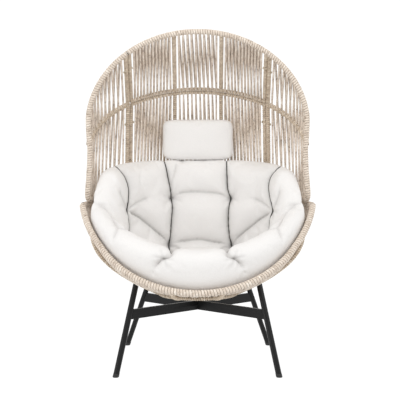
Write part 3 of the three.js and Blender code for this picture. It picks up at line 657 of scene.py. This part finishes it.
base_lines = []
for k in range(-7, 8):
    for layer in (-1, 1):
        x = (k + 0.25 * layer) * STRAND_PITCH
        reach = BASE_RING["depth"] * math.sqrt(max(0.0, 1 - (x / BASE_RING["half_width"]) ** 2))
        z = BASE_RING["z"] + layer * LAYER_OFFSET
        base_lines.append(np.array([vec(x, -reach, z), vec(x, 0, z), vec(x, reach, z)]))
strand_piece("base_weave", base_lines, [0] * len(base_lines))

# ---- Base: legs, caps, bars, straps and bolts ----


def capped_rings(first, rings, last):
    """A closed surface through rings of points, with a point at each end."""
    around = len(rings[0])
    vertices = [first] + [point for ring in rings for point in ring] + [last]
    faces = []
    for j in range(around):
        k = (j + 1) % around
        faces.append([0, 1 + k, 1 + j])
        for row in range(len(rings) - 1):
            a = 1 + row * around
            faces.append([a + j, a + k, a + around + k, a + around + j])
        end = 1 + (len(rings) - 1) * around
        faces.append([end + j, end + k, len(vertices) - 1])
    return np.array(vertices), faces


def ring_surface(centres, radii, around=40):
    """A closed surface of level rings, one per centre."""
    turn = 2 * np.pi * np.arange(around) / around
    circle = np.stack([np.cos(turn), np.sin(turn), 0 * turn], 1)
    rings = [centre + radius * circle for centre, radius in zip(centres, radii)]
    return capped_rings(centres[0], rings, centres[-1])


def shade_smooth(piece):
    for polygon in piece.data.polygons:
        polygon.use_smooth = True


def sharp_by_angle(piece, degrees=35):
    shade_smooth(piece)
    piece.data.set_sharp_from_angle(angle=math.radians(degrees))


def nearest_bearing(target):
    best = (9.0, 0, 0)
    for a in np.linspace(0, 360, 361):
        for drop in np.linspace(0.2, 0.9, 36):
            best = min(best, (float(np.linalg.norm(bowl_at(a, drop) - target)), a, drop))
    return best[1], best[2]


def cut_above(piece, place, normal):
    """Cuts the piece off at a plane and closes it there. The normal points back to the kept side."""
    bm = bmesh.new()
    bm.from_mesh(piece.data)
    everything = bm.verts[:] + bm.edges[:] + bm.faces[:]
    cut = bmesh.ops.bisect_plane(
        bm, geom=everything, plane_co=place + ORIGIN, plane_no=-normal, clear_outer=True)
    rim_edges = [e for e in cut["geom_cut"] if isinstance(e, bmesh.types.BMEdge)]
    bmesh.ops.edgeloop_fill(bm, edges=rim_edges)
    bm.to_mesh(piece.data)
    bm.free()


# Where a strap's upper face lies, out from the bowl's surface.
STRAP_LOW = dict(front=0.004 - BOWL_WEAVE["inset"] + STRAP["gap"], rear=BOWL_RIB_TUBE + STRAP["gap"])
# The foot cap's outline: heights and radii.
CAP_OUTLINE = [(0.0, 0.0124), (0.0006, 0.0129), (0.002, 0.0131), (0.0115, 0.0131), (0.0131, 0.0130),
               (LEG["cap"], 0.0127)]
LEG_RINGS = 12
for end, (away, top_place) in LEG_TOPS.items():
    for side in (-1, 1):
        name = f"{end}_{side_name(side)}"
        foot = vec(side * LEG["foot"][0], away * LEG["foot"][1], 0)
        top = vec(side * top_place[0], away * top_place[1], top_place[2])
        slope = (top - foot) / top[2]
        heights = np.linspace(LEG["cap"] + GAP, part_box(f"leg_{name}")[1].z, LEG_RINGS)
        vertices, faces = ring_surface([foot + slope * z for z in heights], [LEG["radius"]] * LEG_RINGS)
        leg = mesh_piece(f"leg_{name}_round", vertices, faces, BLACK_METAL, "frame")
        a, drop = nearest_bearing(top)
        normal = bowl_normal(a, drop)
        strap_far = STRAP_LOW[end] + STRAP["thickness"] + 2 * STRAP["gap"]
        cut_above(leg, bowl_at(a, drop) + normal * strap_far, normal)
        sharp_by_angle(leg)
        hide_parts(f"leg_{name}")

        centres = [foot + slope * z for z, _ in CAP_OUTLINE]
        vertices, faces = ring_surface(centres, [radius for _, radius in CAP_OUTLINE])
        cap = mesh_piece(f"foot_cap_{name}_round", vertices, faces, FOOT_PLASTIC, "frame")
        sharp_by_angle(cap, 50)
        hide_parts(f"foot_cap_{name}")


def eased_copy(node, width, material):
    """A copy of a CAD node's flat faces with its edges rounded, which stands for it."""
    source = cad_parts[node]
    bm = bmesh.new()
    bm.from_mesh(source.data)
    bmesh.ops.remove_doubles(bm, verts=bm.verts, dist=1e-5)
    bmesh.ops.dissolve_limit(bm, angle_limit=math.radians(1), verts=bm.verts, edges=bm.edges)
    mesh = bpy.data.meshes.new(f"{node}_eased")
    bm.to_mesh(mesh)
    bm.free()
    mesh.materials.append(material)
    piece = bpy.data.objects.new(f"{node}_eased", mesh)
    bpy.context.scene.collection.objects.link(piece)
    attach(piece, "frame")
    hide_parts(node)
    bevel = piece.modifiers.new("bevel", "BEVEL")
    bevel.width = width
    bevel.segments = 2
    bevel.limit_method = "ANGLE"
    bevel.angle_limit = math.radians(40)
    bevel.harden_normals = True
    sharp_by_angle(piece, 60)
    return piece


for node in ("cross_bar_a", "cross_bar_b"):
    eased_copy(node, 0.0012, BLACK_METAL)
for end in ("front", "rear"):
    for side in (-1, 1):
        eased_copy(f"seat_strap_{end}_{side_name(side)}", 0.0007, BLACK_METAL)


def turned_along(points, axis, place):
    """Lathe outline (distance along, radius) put on an axis."""
    rotation = Vector((0, 0, 1)).rotation_difference(Vector(axis))
    centres = [vec(0, 0, along) for along, _ in points]
    vertices, faces = ring_surface(centres, [radius for _, radius in points], 24)
    turned = [np.array(rotation @ Vector(v)) + place for v in vertices]
    return np.array(turned), faces


for side in (-1, 1):
    name = side_name(side)
    wing = rib_stations(OUTER_RIB, side, OUTER_RIB["apart"] / 2)
    centre = rib_stations(OUTER_RIB, side, -OUTER_RIB["apart"] / 2)
    for level, low, high, share in (("lower", "rail", "hoop", 0.79), ("upper", "hoop", "hood", 0.68)):
        outside = mix(wing[low], wing[high], share)
        inside = mix(centre[low], centre[high], share)
        grip = np.linalg.norm(outside - inside) / 2 + OUTER_RIB["tube"] + GAP
        end = grip + 0.004
        outline = [(-end, 0.0046), (-end + 0.0008, 0.0055), (-grip, 0.0055), (-grip + 0.0001, 0.0029),
                   (grip - 0.0001, 0.0029), (grip, 0.0062), (grip + 0.002, 0.0057), (end - 0.0005, 0.0038),
                   (end, 0.0016)]
        vertices, faces = turned_along(outline, unit(outside - inside), mix(inside, outside, 0.5))
        node = f"{level}_rib_bolt_{name}"
        bolt = mesh_piece(f"{node}_turned", vertices, faces, BOLT_STEEL, "frame")
        sharp_by_angle(bolt, 40)
        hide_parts(node)

# ---- Seat cushion ----

SEAT_Z = 0.466
FOOT_Z = 0.320
CUSHION_CLEARANCE = 0.030
FRONT_ROLL = dict(side_inset=0.070, inset=0.066, side_rise=-0.030, rise=0.098, side_radius=0.046,
                  radius=0.066, ease=0.8)
BACK_ROLL = dict(half_width=0.399, depth=0.297, rise=0.149, side_radius=0.050, radius=0.047, ease=0.22)
SEAT_CORNER = dict(half_width=0.285, front=0.205, rear=0.190, rise=0.024)
VOXEL = 0.0070


def roll_at(a):
    """The middle of the roll round the cushion's edge, and its radius."""
    rim = rim_at(a)
    if a > 180:
        forward = -sind(a)
        middle_y = FRONT_RIM["centre_y"]
        inset = mix(FRONT_ROLL["side_inset"], FRONT_ROLL["inset"], forward)
        inward = inset / math.hypot(rim[0], rim[1] - middle_y)
        rise = mix(FRONT_ROLL["side_rise"], FRONT_ROLL["rise"], forward ** FRONT_ROLL["ease"])
        y = rim[1] - (rim[1] - middle_y * forward) * inward
        place = vec(rim[0] * (1 - inward), y, rim[2] + rise)
        return place, mix(FRONT_ROLL["side_radius"], FRONT_ROLL["radius"], forward)
    back = max(0.0, sind(a))
    z = FRONT_RIM["z"] + BACK_ROLL["rise"] * back ** BACK_ROLL["ease"]
    place = vec(BACK_ROLL["half_width"] * cosd(a), BACK_ROLL["depth"] * back, z)
    return place, mix(BACK_ROLL["side_radius"], BACK_ROLL["radius"], back)


def blended_roll_at(a):
    """The roll, eased where the front part meets the back part."""
    places, radii = [], []
    for shift in (-7, -3.5, 0, 3.5, 7):
        place, radius = roll_at((a + shift) % 360)
        places.append(place)
        radii.append(radius)
    return np.mean(places, 0), float(np.mean(radii))


def seat_corner_at(a):
    depth = SEAT_CORNER["front"] if sind(a) < 0 else SEAT_CORNER["rear"]
    z = SEAT_Z + SEAT_CORNER["rise"] * abs(cosd(a))
    return vec(SEAT_CORNER["half_width"] * cosd(a), depth * sind(a), z)


def cushion_column(a):
    place, radius = blended_roll_at(a)
    outward = unit(vec(place[0], place[1], 0))
    seat = vec(0, 0, SEAT_Z)
    corner = seat_corner_at(a)
    column = [seat, mix(corner, seat, 0.5), corner]
    column.append(mix(place - outward * radius, corner, 0.5))
    for turn in (165, 120, 75, 30, -30):
        column.append(place + outward * radius * cosd(turn) + vec(0, 0, radius * sind(turn)))
    for drop in (0.3, 0.5, 0.7, 0.9):
        column.append(bowl_at(a, drop) - bowl_normal(a, drop) * CUSHION_CLEARANCE)
    column.append(vec(0, 0, FOOT_Z))
    return smooth_path(column, 120)


def cushion_surface():
    around = 200
    columns = [cushion_column(a) for a in np.linspace(0, 360, around, endpoint=False)]
    rings = [[column[row] for column in columns] for row in range(1, len(columns[0]) - 1)]
    vertices, faces = capped_rings(columns[0][0], rings, columns[0][-1])
    return vertices, [face[:1] + face[:0:-1] for face in faces]


def modified(piece, kind, **settings):
    """Adds a modifier and applies it."""
    modifier = piece.modifiers.new(kind.lower(), kind)
    for key, value in settings.items():
        setattr(modifier, key, value)
    bpy.context.view_layer.objects.active = piece
    with bpy.context.temp_override(object=piece, active_object=piece):
        bpy.ops.object.modifier_apply(modifier=modifier.name)


def coordinates(mesh, kind="co"):
    values = np.zeros(len(mesh.vertices) * 3)
    mesh.vertices.foreach_get(kind, values)
    return values.reshape(-1, 3)


vertices, faces = cushion_surface()
cushion = mesh_piece("seat_cushion_soft", vertices, faces, CUSHION_FABRIC, "seat_cushion")
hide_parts("seat_cushion")
modified(cushion, "REMESH", mode="VOXEL", voxel_size=VOXEL, use_smooth_shade=True)
modified(cushion, "SMOOTH", factor=0.5, iterations=4)

# The tufts, the seams and the creases, as points near the surface.
BACK_LEFT = (-0.115, 0.212, 0.692)
BACK_RIGHT = (0.141, 0.204, 0.692)
SEAT_LEFT = (-0.122, 0.183, 0.492)
SEAT_RIGHT = (0.142, 0.174, 0.490)
SIDE_LEFT = (-0.306, 0.065, 0.648)
SIDE_RIGHT = (0.322, 0.028, 0.647)
FRONT_LEFT = (-0.136, -0.351, 0.491)
FRONT_RIGHT = (0.149, -0.349, 0.490)
TUFT_DEPTHS = [
    (BACK_LEFT, 0.050), (BACK_RIGHT, 0.050), (SEAT_LEFT, 0.050), (SEAT_RIGHT, 0.050),
    (SIDE_LEFT, 0.015), (SIDE_RIGHT, 0.015), (FRONT_LEFT, 0.012), (FRONT_RIGHT, 0.012),
]
# For seams and creases, dark is how strongly painted shade darkens the fabric along them.
INNER_SEAM = dict(depth=0.027, reach=0.070, dark=0.55)
OUTER_SEAM = dict(depth=0.012, reach=0.055, dark=0.5)
SEAMS = dict(
    inner_left=([
        (-0.162, 0.290, 0.872), (-0.153, 0.249, 0.859), (-0.138, 0.225, 0.811), (-0.121, 0.215, 0.728),
        BACK_LEFT, (-0.113, 0.206, 0.640), (-0.116, 0.199, 0.592), SEAT_LEFT,
        (-0.118, 0.080, 0.478), (-0.110, -0.150, 0.474)], INNER_SEAM),
    inner_right=([
        (0.134, 0.290, 0.872), (0.133, 0.252, 0.858), (0.132, 0.213, 0.738), BACK_RIGHT,
        (0.136, 0.198, 0.640), (0.134, 0.192, 0.569), SEAT_RIGHT, (0.134, 0.080, 0.478),
        (0.122, -0.150, 0.474)], INNER_SEAM),
    outer_left=([
        (-0.372, 0.115, 0.845), (-0.354, 0.094, 0.824), (-0.329, 0.095, 0.804), (-0.312, 0.099, 0.770),
        (-0.304, 0.099, 0.734), (-0.304, 0.085, 0.691), SIDE_LEFT, (-0.299, 0.063, 0.603),
        (-0.297, 0.056, 0.555), (-0.290, -0.020, 0.520)], OUTER_SEAM),
    outer_right=([
        (0.374, 0.115, 0.845), (0.356, 0.093, 0.824), (0.331, 0.095, 0.806), (0.314, 0.097, 0.770),
        (0.311, 0.088, 0.735), (0.316, 0.063, 0.692), SIDE_RIGHT, (0.309, 0.033, 0.597),
        (0.297, 0.020, 0.555), (0.290, -0.040, 0.520)], OUTER_SEAM),
)
# Where the side of the cushion meets the roll, and the short fold down the roll from there.
ROLL_EDGE = [
    (-0.460, -0.010, 0.690), (-0.437, -0.035, 0.683), (-0.404, -0.040, 0.673), (-0.381, -0.051, 0.658),
    (-0.354, -0.105, 0.631), (-0.327, -0.175, 0.601), (-0.290, -0.170, 0.560), (-0.240, -0.200, 0.510)]
ROLL_FOLD = [
    (-0.300, -0.170, 0.590), (-0.326, -0.178, 0.600), (-0.336, -0.206, 0.586), (-0.346, -0.226, 0.563),
    (-0.350, -0.230, 0.547)]


def mirrored(points):
    return [(-x, y, z) for x, y, z in points]


# Each crease is a line, its depth, how far its flanks reach and how strongly painted shade darkens the
# fabric along it.
CREASES = [
    ([BACK_LEFT, (-0.091, 0.219, 0.710), (-0.055, 0.226, 0.718), (-0.008, 0.230, 0.721),
      (0.038, 0.228, 0.718), (0.084, 0.221, 0.714), (0.120, 0.212, 0.705), BACK_RIGHT], 0.020, 0.055, 0.36),
    ([(-0.122, 0.184, 0.494), (-0.091, 0.193, 0.496), (-0.045, 0.203, 0.499), (0.010, 0.206, 0.503),
      (0.065, 0.199, 0.495), (0.111, 0.186, 0.492), SEAT_RIGHT], 0.020, 0.055, 0.45),
    ([SIDE_LEFT, (-0.260, 0.121, 0.612), (-0.208, 0.158, 0.563), (-0.159, 0.177, 0.520), SEAT_LEFT],
     0.020, 0.055, 0.55),
    ([SIDE_RIGHT, (0.278, 0.099, 0.609), (0.227, 0.144, 0.560), (0.178, 0.167, 0.517), SEAT_RIGHT],
     0.020, 0.055, 0.55),
    ([(-0.306, 0.065, 0.650), (-0.277, 0.115, 0.671), (-0.248, 0.147, 0.687), (-0.218, 0.170, 0.699)],
     0.010, 0.035, 0.30),
    ([(0.322, 0.028, 0.650), (0.296, 0.092, 0.672), (0.267, 0.130, 0.688), (0.241, 0.154, 0.695)],
     0.010, 0.035, 0.30),
    ([(-0.306, 0.065, 0.650), (-0.325, 0.040, 0.689), (-0.337, 0.031, 0.725), (-0.342, 0.033, 0.747)],
     0.009, 0.030, 0.28),
    ([(0.322, 0.028, 0.650), (0.342, 0.014, 0.691), (0.355, 0.014, 0.726), (0.360, 0.021, 0.747)],
     0.009, 0.030, 0.28),
    ([(-0.122, 0.182, 0.490), (-0.095, 0.185, 0.481), (-0.077, 0.171, 0.466)], 0.009, 0.030, 0.35),
    ([(0.142, 0.174, 0.488), (0.117, 0.178, 0.480), (0.098, 0.164, 0.466)], 0.009, 0.030, 0.35),
    ([(-0.099, 0.256, 0.856), (-0.103, 0.236, 0.820), (-0.115, 0.224, 0.774), (-0.120, 0.215, 0.728)],
     0.008, 0.028, 0.22),
    (ROLL_EDGE, 0.022, 0.045, 0.22),
    (mirrored(ROLL_EDGE), 0.022, 0.045, 0.22),
    (ROLL_FOLD, 0.014, 0.040, 0.20),
    (mirrored(ROLL_FOLD), 0.014, 0.040, 0.20),
    ([(-0.100, -0.200, 0.485), (-0.104, -0.280, 0.510), (-0.107, -0.340, 0.500), (-0.140, -0.353, 0.490),
      (-0.156, -0.350, 0.474), (-0.172, -0.343, 0.449), (-0.179, -0.335, 0.425)], 0.036, 0.060, 0.26),
    ([(0.115, -0.200, 0.485), (0.119, -0.280, 0.510), (0.121, -0.340, 0.500), (0.152, -0.350, 0.489),
      (0.168, -0.346, 0.473), (0.185, -0.337, 0.448), (0.191, -0.329, 0.424)], 0.036, 0.060, 0.26),
]
TUFT_REACH = 0.026
TUFT_FOLDS = dict(count=6, depth=0.0025, from_tuft=0.032, width=0.018)


def tree_of(mesh):
    return BVHTree.FromPolygons([v.co for v in mesh.vertices], [list(p.vertices) for p in mesh.polygons])


def on_surface(tree, points, step):
    """A smooth path through the points, laid on the surface."""
    path, _ = resample(smooth_path(points, 80), step)
    laid = [list(tree.find_nearest(Vector(p + ORIGIN))[0]) for p in path]
    return np.array(laid)


def eased(path, times):
    """The path with its kinks smoothed out, its ends kept."""
    path = np.array(path)
    for _ in range(times):
        path[1:-1] = path[1:-1] * 0.5 + (path[:-2] + path[2:]) * 0.25
    return path


def distance_to(points, path):
    """The distance from each point to a path, and the share of the way along it of the nearest place."""
    best = np.full(len(points), 9.0)
    share = np.zeros(len(points))
    fine, _ = resample(path, 0.002)
    for i, place in enumerate(fine):
        d = np.linalg.norm(points - place, axis=1)
        near = d < best
        best[near] = d[near]
        share[near] = i / max(1, len(fine) - 1)
    return best, share


def puff(distance, width):
    """1 on the seam and 0 beyond its width, with the rounded flanks of two stuffed panels."""
    t = np.clip(distance / width, 0, 1)
    return 1 - np.sqrt(np.clip(1 - (1 - t) ** 2, 0, 1))


surface = tree_of(cushion.data)
co = coordinates(cushion.data)
normals = coordinates(cushion.data, "normal")
hold = np.zeros(len(co))


def snapped(path, weight):
    """Moves the vertices nearest to the path onto it, in order, and holds them."""
    chosen = []
    for place in path:
        nearest = int(np.argmin(np.linalg.norm(co - place, axis=1)))
        if nearest not in chosen:
            co[nearest] = place
            hold[nearest] = max(hold[nearest], weight)
            chosen.append(nearest)
    return chosen


seam_vertices = {}
features = []
for name, (points, seam) in SEAMS.items():
    path = eased(on_surface(surface, points, VOXEL * 0.8), 3)
    seam_vertices[name] = snapped(path, 1.0)
    features.append((path, seam["depth"], seam["reach"], seam["dark"]))
for points, depth, reach, dark in CREASES:
    path = eased(on_surface(surface, points, VOXEL * 0.8), 3)
    snapped(path, 0.7)
    features.append((path, depth, reach, dark))
# sink pushes the surface in; shade is the painted shade put into the fabric's colour.
sink = np.zeros(len(co))
shade = np.zeros(len(co))
for path, depth, reach, dark in features:
    distance, share = distance_to(co, path)
    ends = np.clip(np.minimum(share, 1 - share) / 0.15, 0.3, 1)
    sink = np.maximum(sink, depth * ends * (0.75 * puff(distance, reach) + 0.25 * puff(distance, 0.020)))
    # Painted shade: darkest in the line itself, fading over its flanks.
    wide = 0.30 * np.exp(-distance / 0.014) + 0.15 * np.exp(-distance / 0.045)
    painted_fold_shade = 0.55 * np.exp(-(distance / 0.005) ** 2) + wide
    shade = np.maximum(shade, dark * ends * painted_fold_shade)
for tuft, depth in TUFT_DEPTHS:
    place = np.array(list(surface.find_nearest(Vector(vec(*tuft) + ORIGIN))[0]))
    distance = np.linalg.norm(co - place, axis=1)
    sink = np.maximum(sink, depth * np.exp(-distance / TUFT_REACH))
    hold = np.maximum(hold, (distance < 0.007) * 1.0)
    # Short folds that radiate from the tuft, with painted shade in the tuft and along the folds.
    side_way = unit(np.cross(normals[np.argmin(distance)], vec(0, 0, 1)))
    up_way = np.cross(side_way, normals[np.argmin(distance)])
    angle = np.arctan2((co - place) @ up_way, (co - place) @ side_way)
    fade = np.exp(-((distance - TUFT_FOLDS["from_tuft"]) / TUFT_FOLDS["width"]) ** 2)
    wave = np.cos(angle * TUFT_FOLDS["count"] + random.uniform(0, 6)) * fade
    sink = sink + TUFT_FOLDS["depth"] * wave
    shade = np.maximum(shade, 0.75 * np.exp(-distance / 0.010) + 0.10 * wave)
cushion.data.vertices.foreach_set("co", (co - normals * sink[:, None]).ravel())
cushion.data.update()
# The painted shade is kept as a point attribute, which darkens the fabric's colour.
cushion.data.attributes.new("painted_fold_shade", "FLOAT", "POINT").data.foreach_set("value", np.clip(shade, 0, 1))


CLOTH = dict(quality=6, mass=0.3, tension_stiffness=18, compression_stiffness=12, shear_stiffness=8,
             bending_stiffness=4.0, use_pressure=True, pin_stiffness=1.0)


def soft_settle(piece, pinned, pressure, frames, most, shrink):
    """Blows the piece up a little as cloth, with some points held, and keeps the shape it comes to."""
    start = coordinates(piece.data)
    group = piece.vertex_groups.new(name="held")
    pinned = np.round(pinned, 1)
    for weight in np.unique(pinned):
        if weight > 0:
            group.add(np.flatnonzero(pinned == weight).tolist(), float(weight), "REPLACE")
    cloth = piece.modifiers.new("cloth", "CLOTH")
    for key, value in CLOTH.items():
        setattr(cloth.settings, key, value)
    cloth.settings.uniform_pressure_force = pressure
    cloth.settings.vertex_group_mass = "held"
    cloth.settings.shrink_min = shrink
    cloth.settings.effector_weights.gravity = 0
    cloth.collision_settings.use_collision = False
    cloth.collision_settings.use_self_collision = False
    cloth.point_cache.frame_start = 1
    cloth.point_cache.frame_end = frames
    scene = bpy.context.scene
    scene.frame_start = 1
    scene.frame_end = frames
    for frame_number in range(1, frames + 1):
        scene.frame_set(frame_number)
    evaluated = piece.evaluated_get(bpy.context.evaluated_depsgraph_get())
    settled = coordinates(evaluated.data)
    piece.modifiers.remove(cloth)
    scene.frame_set(1)
    shift = settled - start
    length = np.linalg.norm(shift, axis=1)
    shift *= np.minimum(1, most / np.maximum(length, 1e-9))[:, None]
    piece.data.vertices.foreach_set("co", (start + shift).ravel())
    piece.data.update()
    piece.vertex_groups.clear()
    print(piece.name, "settled by", round(float(length.max()), 4), round(float(length.mean()), 4))


hold = np.maximum(hold, (normals[:, 2] < -0.15) * 1.0)
soft_settle(cushion, hold, 3.0, 18, 0.012, -0.01)
seam_lines = {name: coordinates(cushion.data)[chosen] for name, chosen in seam_vertices.items()}
modified(cushion, "SUBSURF", levels=1, render_levels=1)
shade_smooth(cushion)

# Dark cords sunk in the seams; their dark grey also paints the shade line along each seam.
CORD_RADIUS = 0.0027
for name, line in seam_lines.items():
    line = smooth_path(eased(line, 6)[1:-1], 160) - ORIGIN
    outward = np.array([unit(vec(-p[0] * 0.5, -0.6 - p[1], 0.95 - p[2])) for p in line])
    vertices, faces, _ = strand_mesh([line + outward * CORD_RADIUS * 1.3], CORD_RADIUS, 8)
    mesh_piece(f"cushion_seam_{name}", vertices, faces, SEAM_SHADE_CORD, "seat_cushion")

# ---- Head pillow ----

low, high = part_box("head_pillow")
PILLOW = dict(width=0.332, height=0.193, depth=0.064, corner=7, lean=0.101, sag=0.002)
pillow_middle = np.array((low + high) / 2) - ORIGIN - vec(0, 0, PILLOW["sag"])


def pillow_surface():
    """Two panels sewn round their edge, already rounded to about half of their thickness."""
    across, up = 64, 40
    corner = PILLOW["corner"]
    half_width, half_height, half_depth = (PILLOW[key] / 2 for key in ("width", "height", "depth"))
    vertices, faces = [], []
    for face in (-1, 1):
        for i in range(up + 1):
            for j in range(across + 1):
                u, v = 2 * j / across - 1, 2 * i / up - 1
                edge = max(abs(u), abs(v))
                spread = (abs(u) ** corner + abs(v) ** corner) ** (1 / corner)
                x, z = (u * edge / spread, v * edge / spread) if edge else (0, 0)
                bulge = (1 - edge ** 5) ** 0.45
                y = face * bulge * half_depth - PILLOW["lean"] * z * half_height
                vertices.append(vec(x * half_width, y, z * half_height) + pillow_middle)
    count = (up + 1) * (across + 1)
    for layer in (0, 1):
        for i in range(up):
            for j in range(across):
                a = layer * count + i * (across + 1) + j
                quad = [a, a + 1, a + across + 2, a + across + 1]
                faces.append(quad if layer == 0 else quad[::-1])
    return np.array(vertices), faces


vertices, faces = pillow_surface()
pillow = mesh_piece("head_pillow_soft", vertices, faces, PILLOW_FABRIC, "head_pillow")
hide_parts("head_pillow")
bm = bmesh.new()
bm.from_mesh(pillow.data)
bmesh.ops.remove_doubles(bm, verts=bm.verts, dist=1e-4)
bm.to_mesh(pillow.data)
bm.free()
soft_settle(pillow, np.zeros(len(pillow.data.vertices)), 2.0, 14, 0.008, 0.0)
modified(pillow, "SUBSURF", levels=1, render_levels=1)
shade_smooth(pillow)

# ---- Floor, light and camera ----

FILL_LIGHT = 0.895
bpy.ops.mesh.primitive_plane_add(size=30, location=(0, 0, -0.0005))
floor = bpy.context.object
floor.name = "floor"
white = Finish("white_floor", 0.9)
white.shader.inputs["Base Color"].default_value = (0.9, 0.9, 0.9, 1)
seen = white.node("ShaderNodeLightPath").outputs["Is Camera Ray"]
glow_strength = white.node("ShaderNodeMix", {"Factor": seen, "A": FILL_LIGHT, "B": 1.12})
bright = {"Color": (1, 1, 1, 1), "Strength": glow_strength.outputs["Result"]}
glow = white.node("ShaderNodeEmission", bright).outputs["Emission"]
blend = white.node("ShaderNodeMixShader", {"Fac": 0.85, 1: white.shader.outputs["BSDF"], 2: glow})
white.tree.links.new(blend.outputs["Shader"], white.tree.nodes["Material Output"].inputs["Surface"])
floor.data.materials.append(white.material)

world = bpy.data.worlds.new("studio")
world.use_nodes = True
tree = world.node_tree
background = tree.nodes["Background"]
background.inputs["Color"].default_value = (1, 1, 1, 1)
path_node = tree.nodes.new("ShaderNodeLightPath")
strength = tree.nodes.new("ShaderNodeMix")
strength.inputs["A"].default_value = FILL_LIGHT
strength.inputs["B"].default_value = 1.1
tree.links.new(path_node.outputs["Is Camera Ray"], strength.inputs["Factor"])
tree.links.new(strength.outputs["Result"], background.inputs["Strength"])
bpy.context.scene.world = world


def area_light(name, place, aim, size, watts):
    light = bpy.data.lights.new(name, "AREA")
    light.energy = watts
    light.size = size
    lamp = bpy.data.objects.new(name, light)
    lamp.location = place
    lamp.rotation_euler = (Vector(aim) - Vector(place)).to_track_quat("-Z", "Y").to_euler()
    bpy.context.scene.collection.objects.link(lamp)


area_light("key", (-0.7, -2.2, 3.4), (0, 0, 0.7), 1.4, 27)
area_light("side", (2.0, -1.6, 2.0), (0, 0, 0.7), 1.2, 8)
area_light("edge", (-2.4, -1.9, 0.5), (0, 0, 0.25), 0.45, 6)

camera_data = bpy.data.cameras.new("camera")
camera_data.lens = 78.1
camera_data.shift_y = -0.14
camera = bpy.data.objects.new("camera", camera_data)
camera.location = (0.010, -3.78 + SHIFT, 0.94)
camera.rotation_euler = (math.radians(90), 0, 0)
bpy.context.scene.collection.objects.link(camera)
bpy.context.scene.camera = camera
bpy.context.scene.view_settings.view_transform = "Standard"
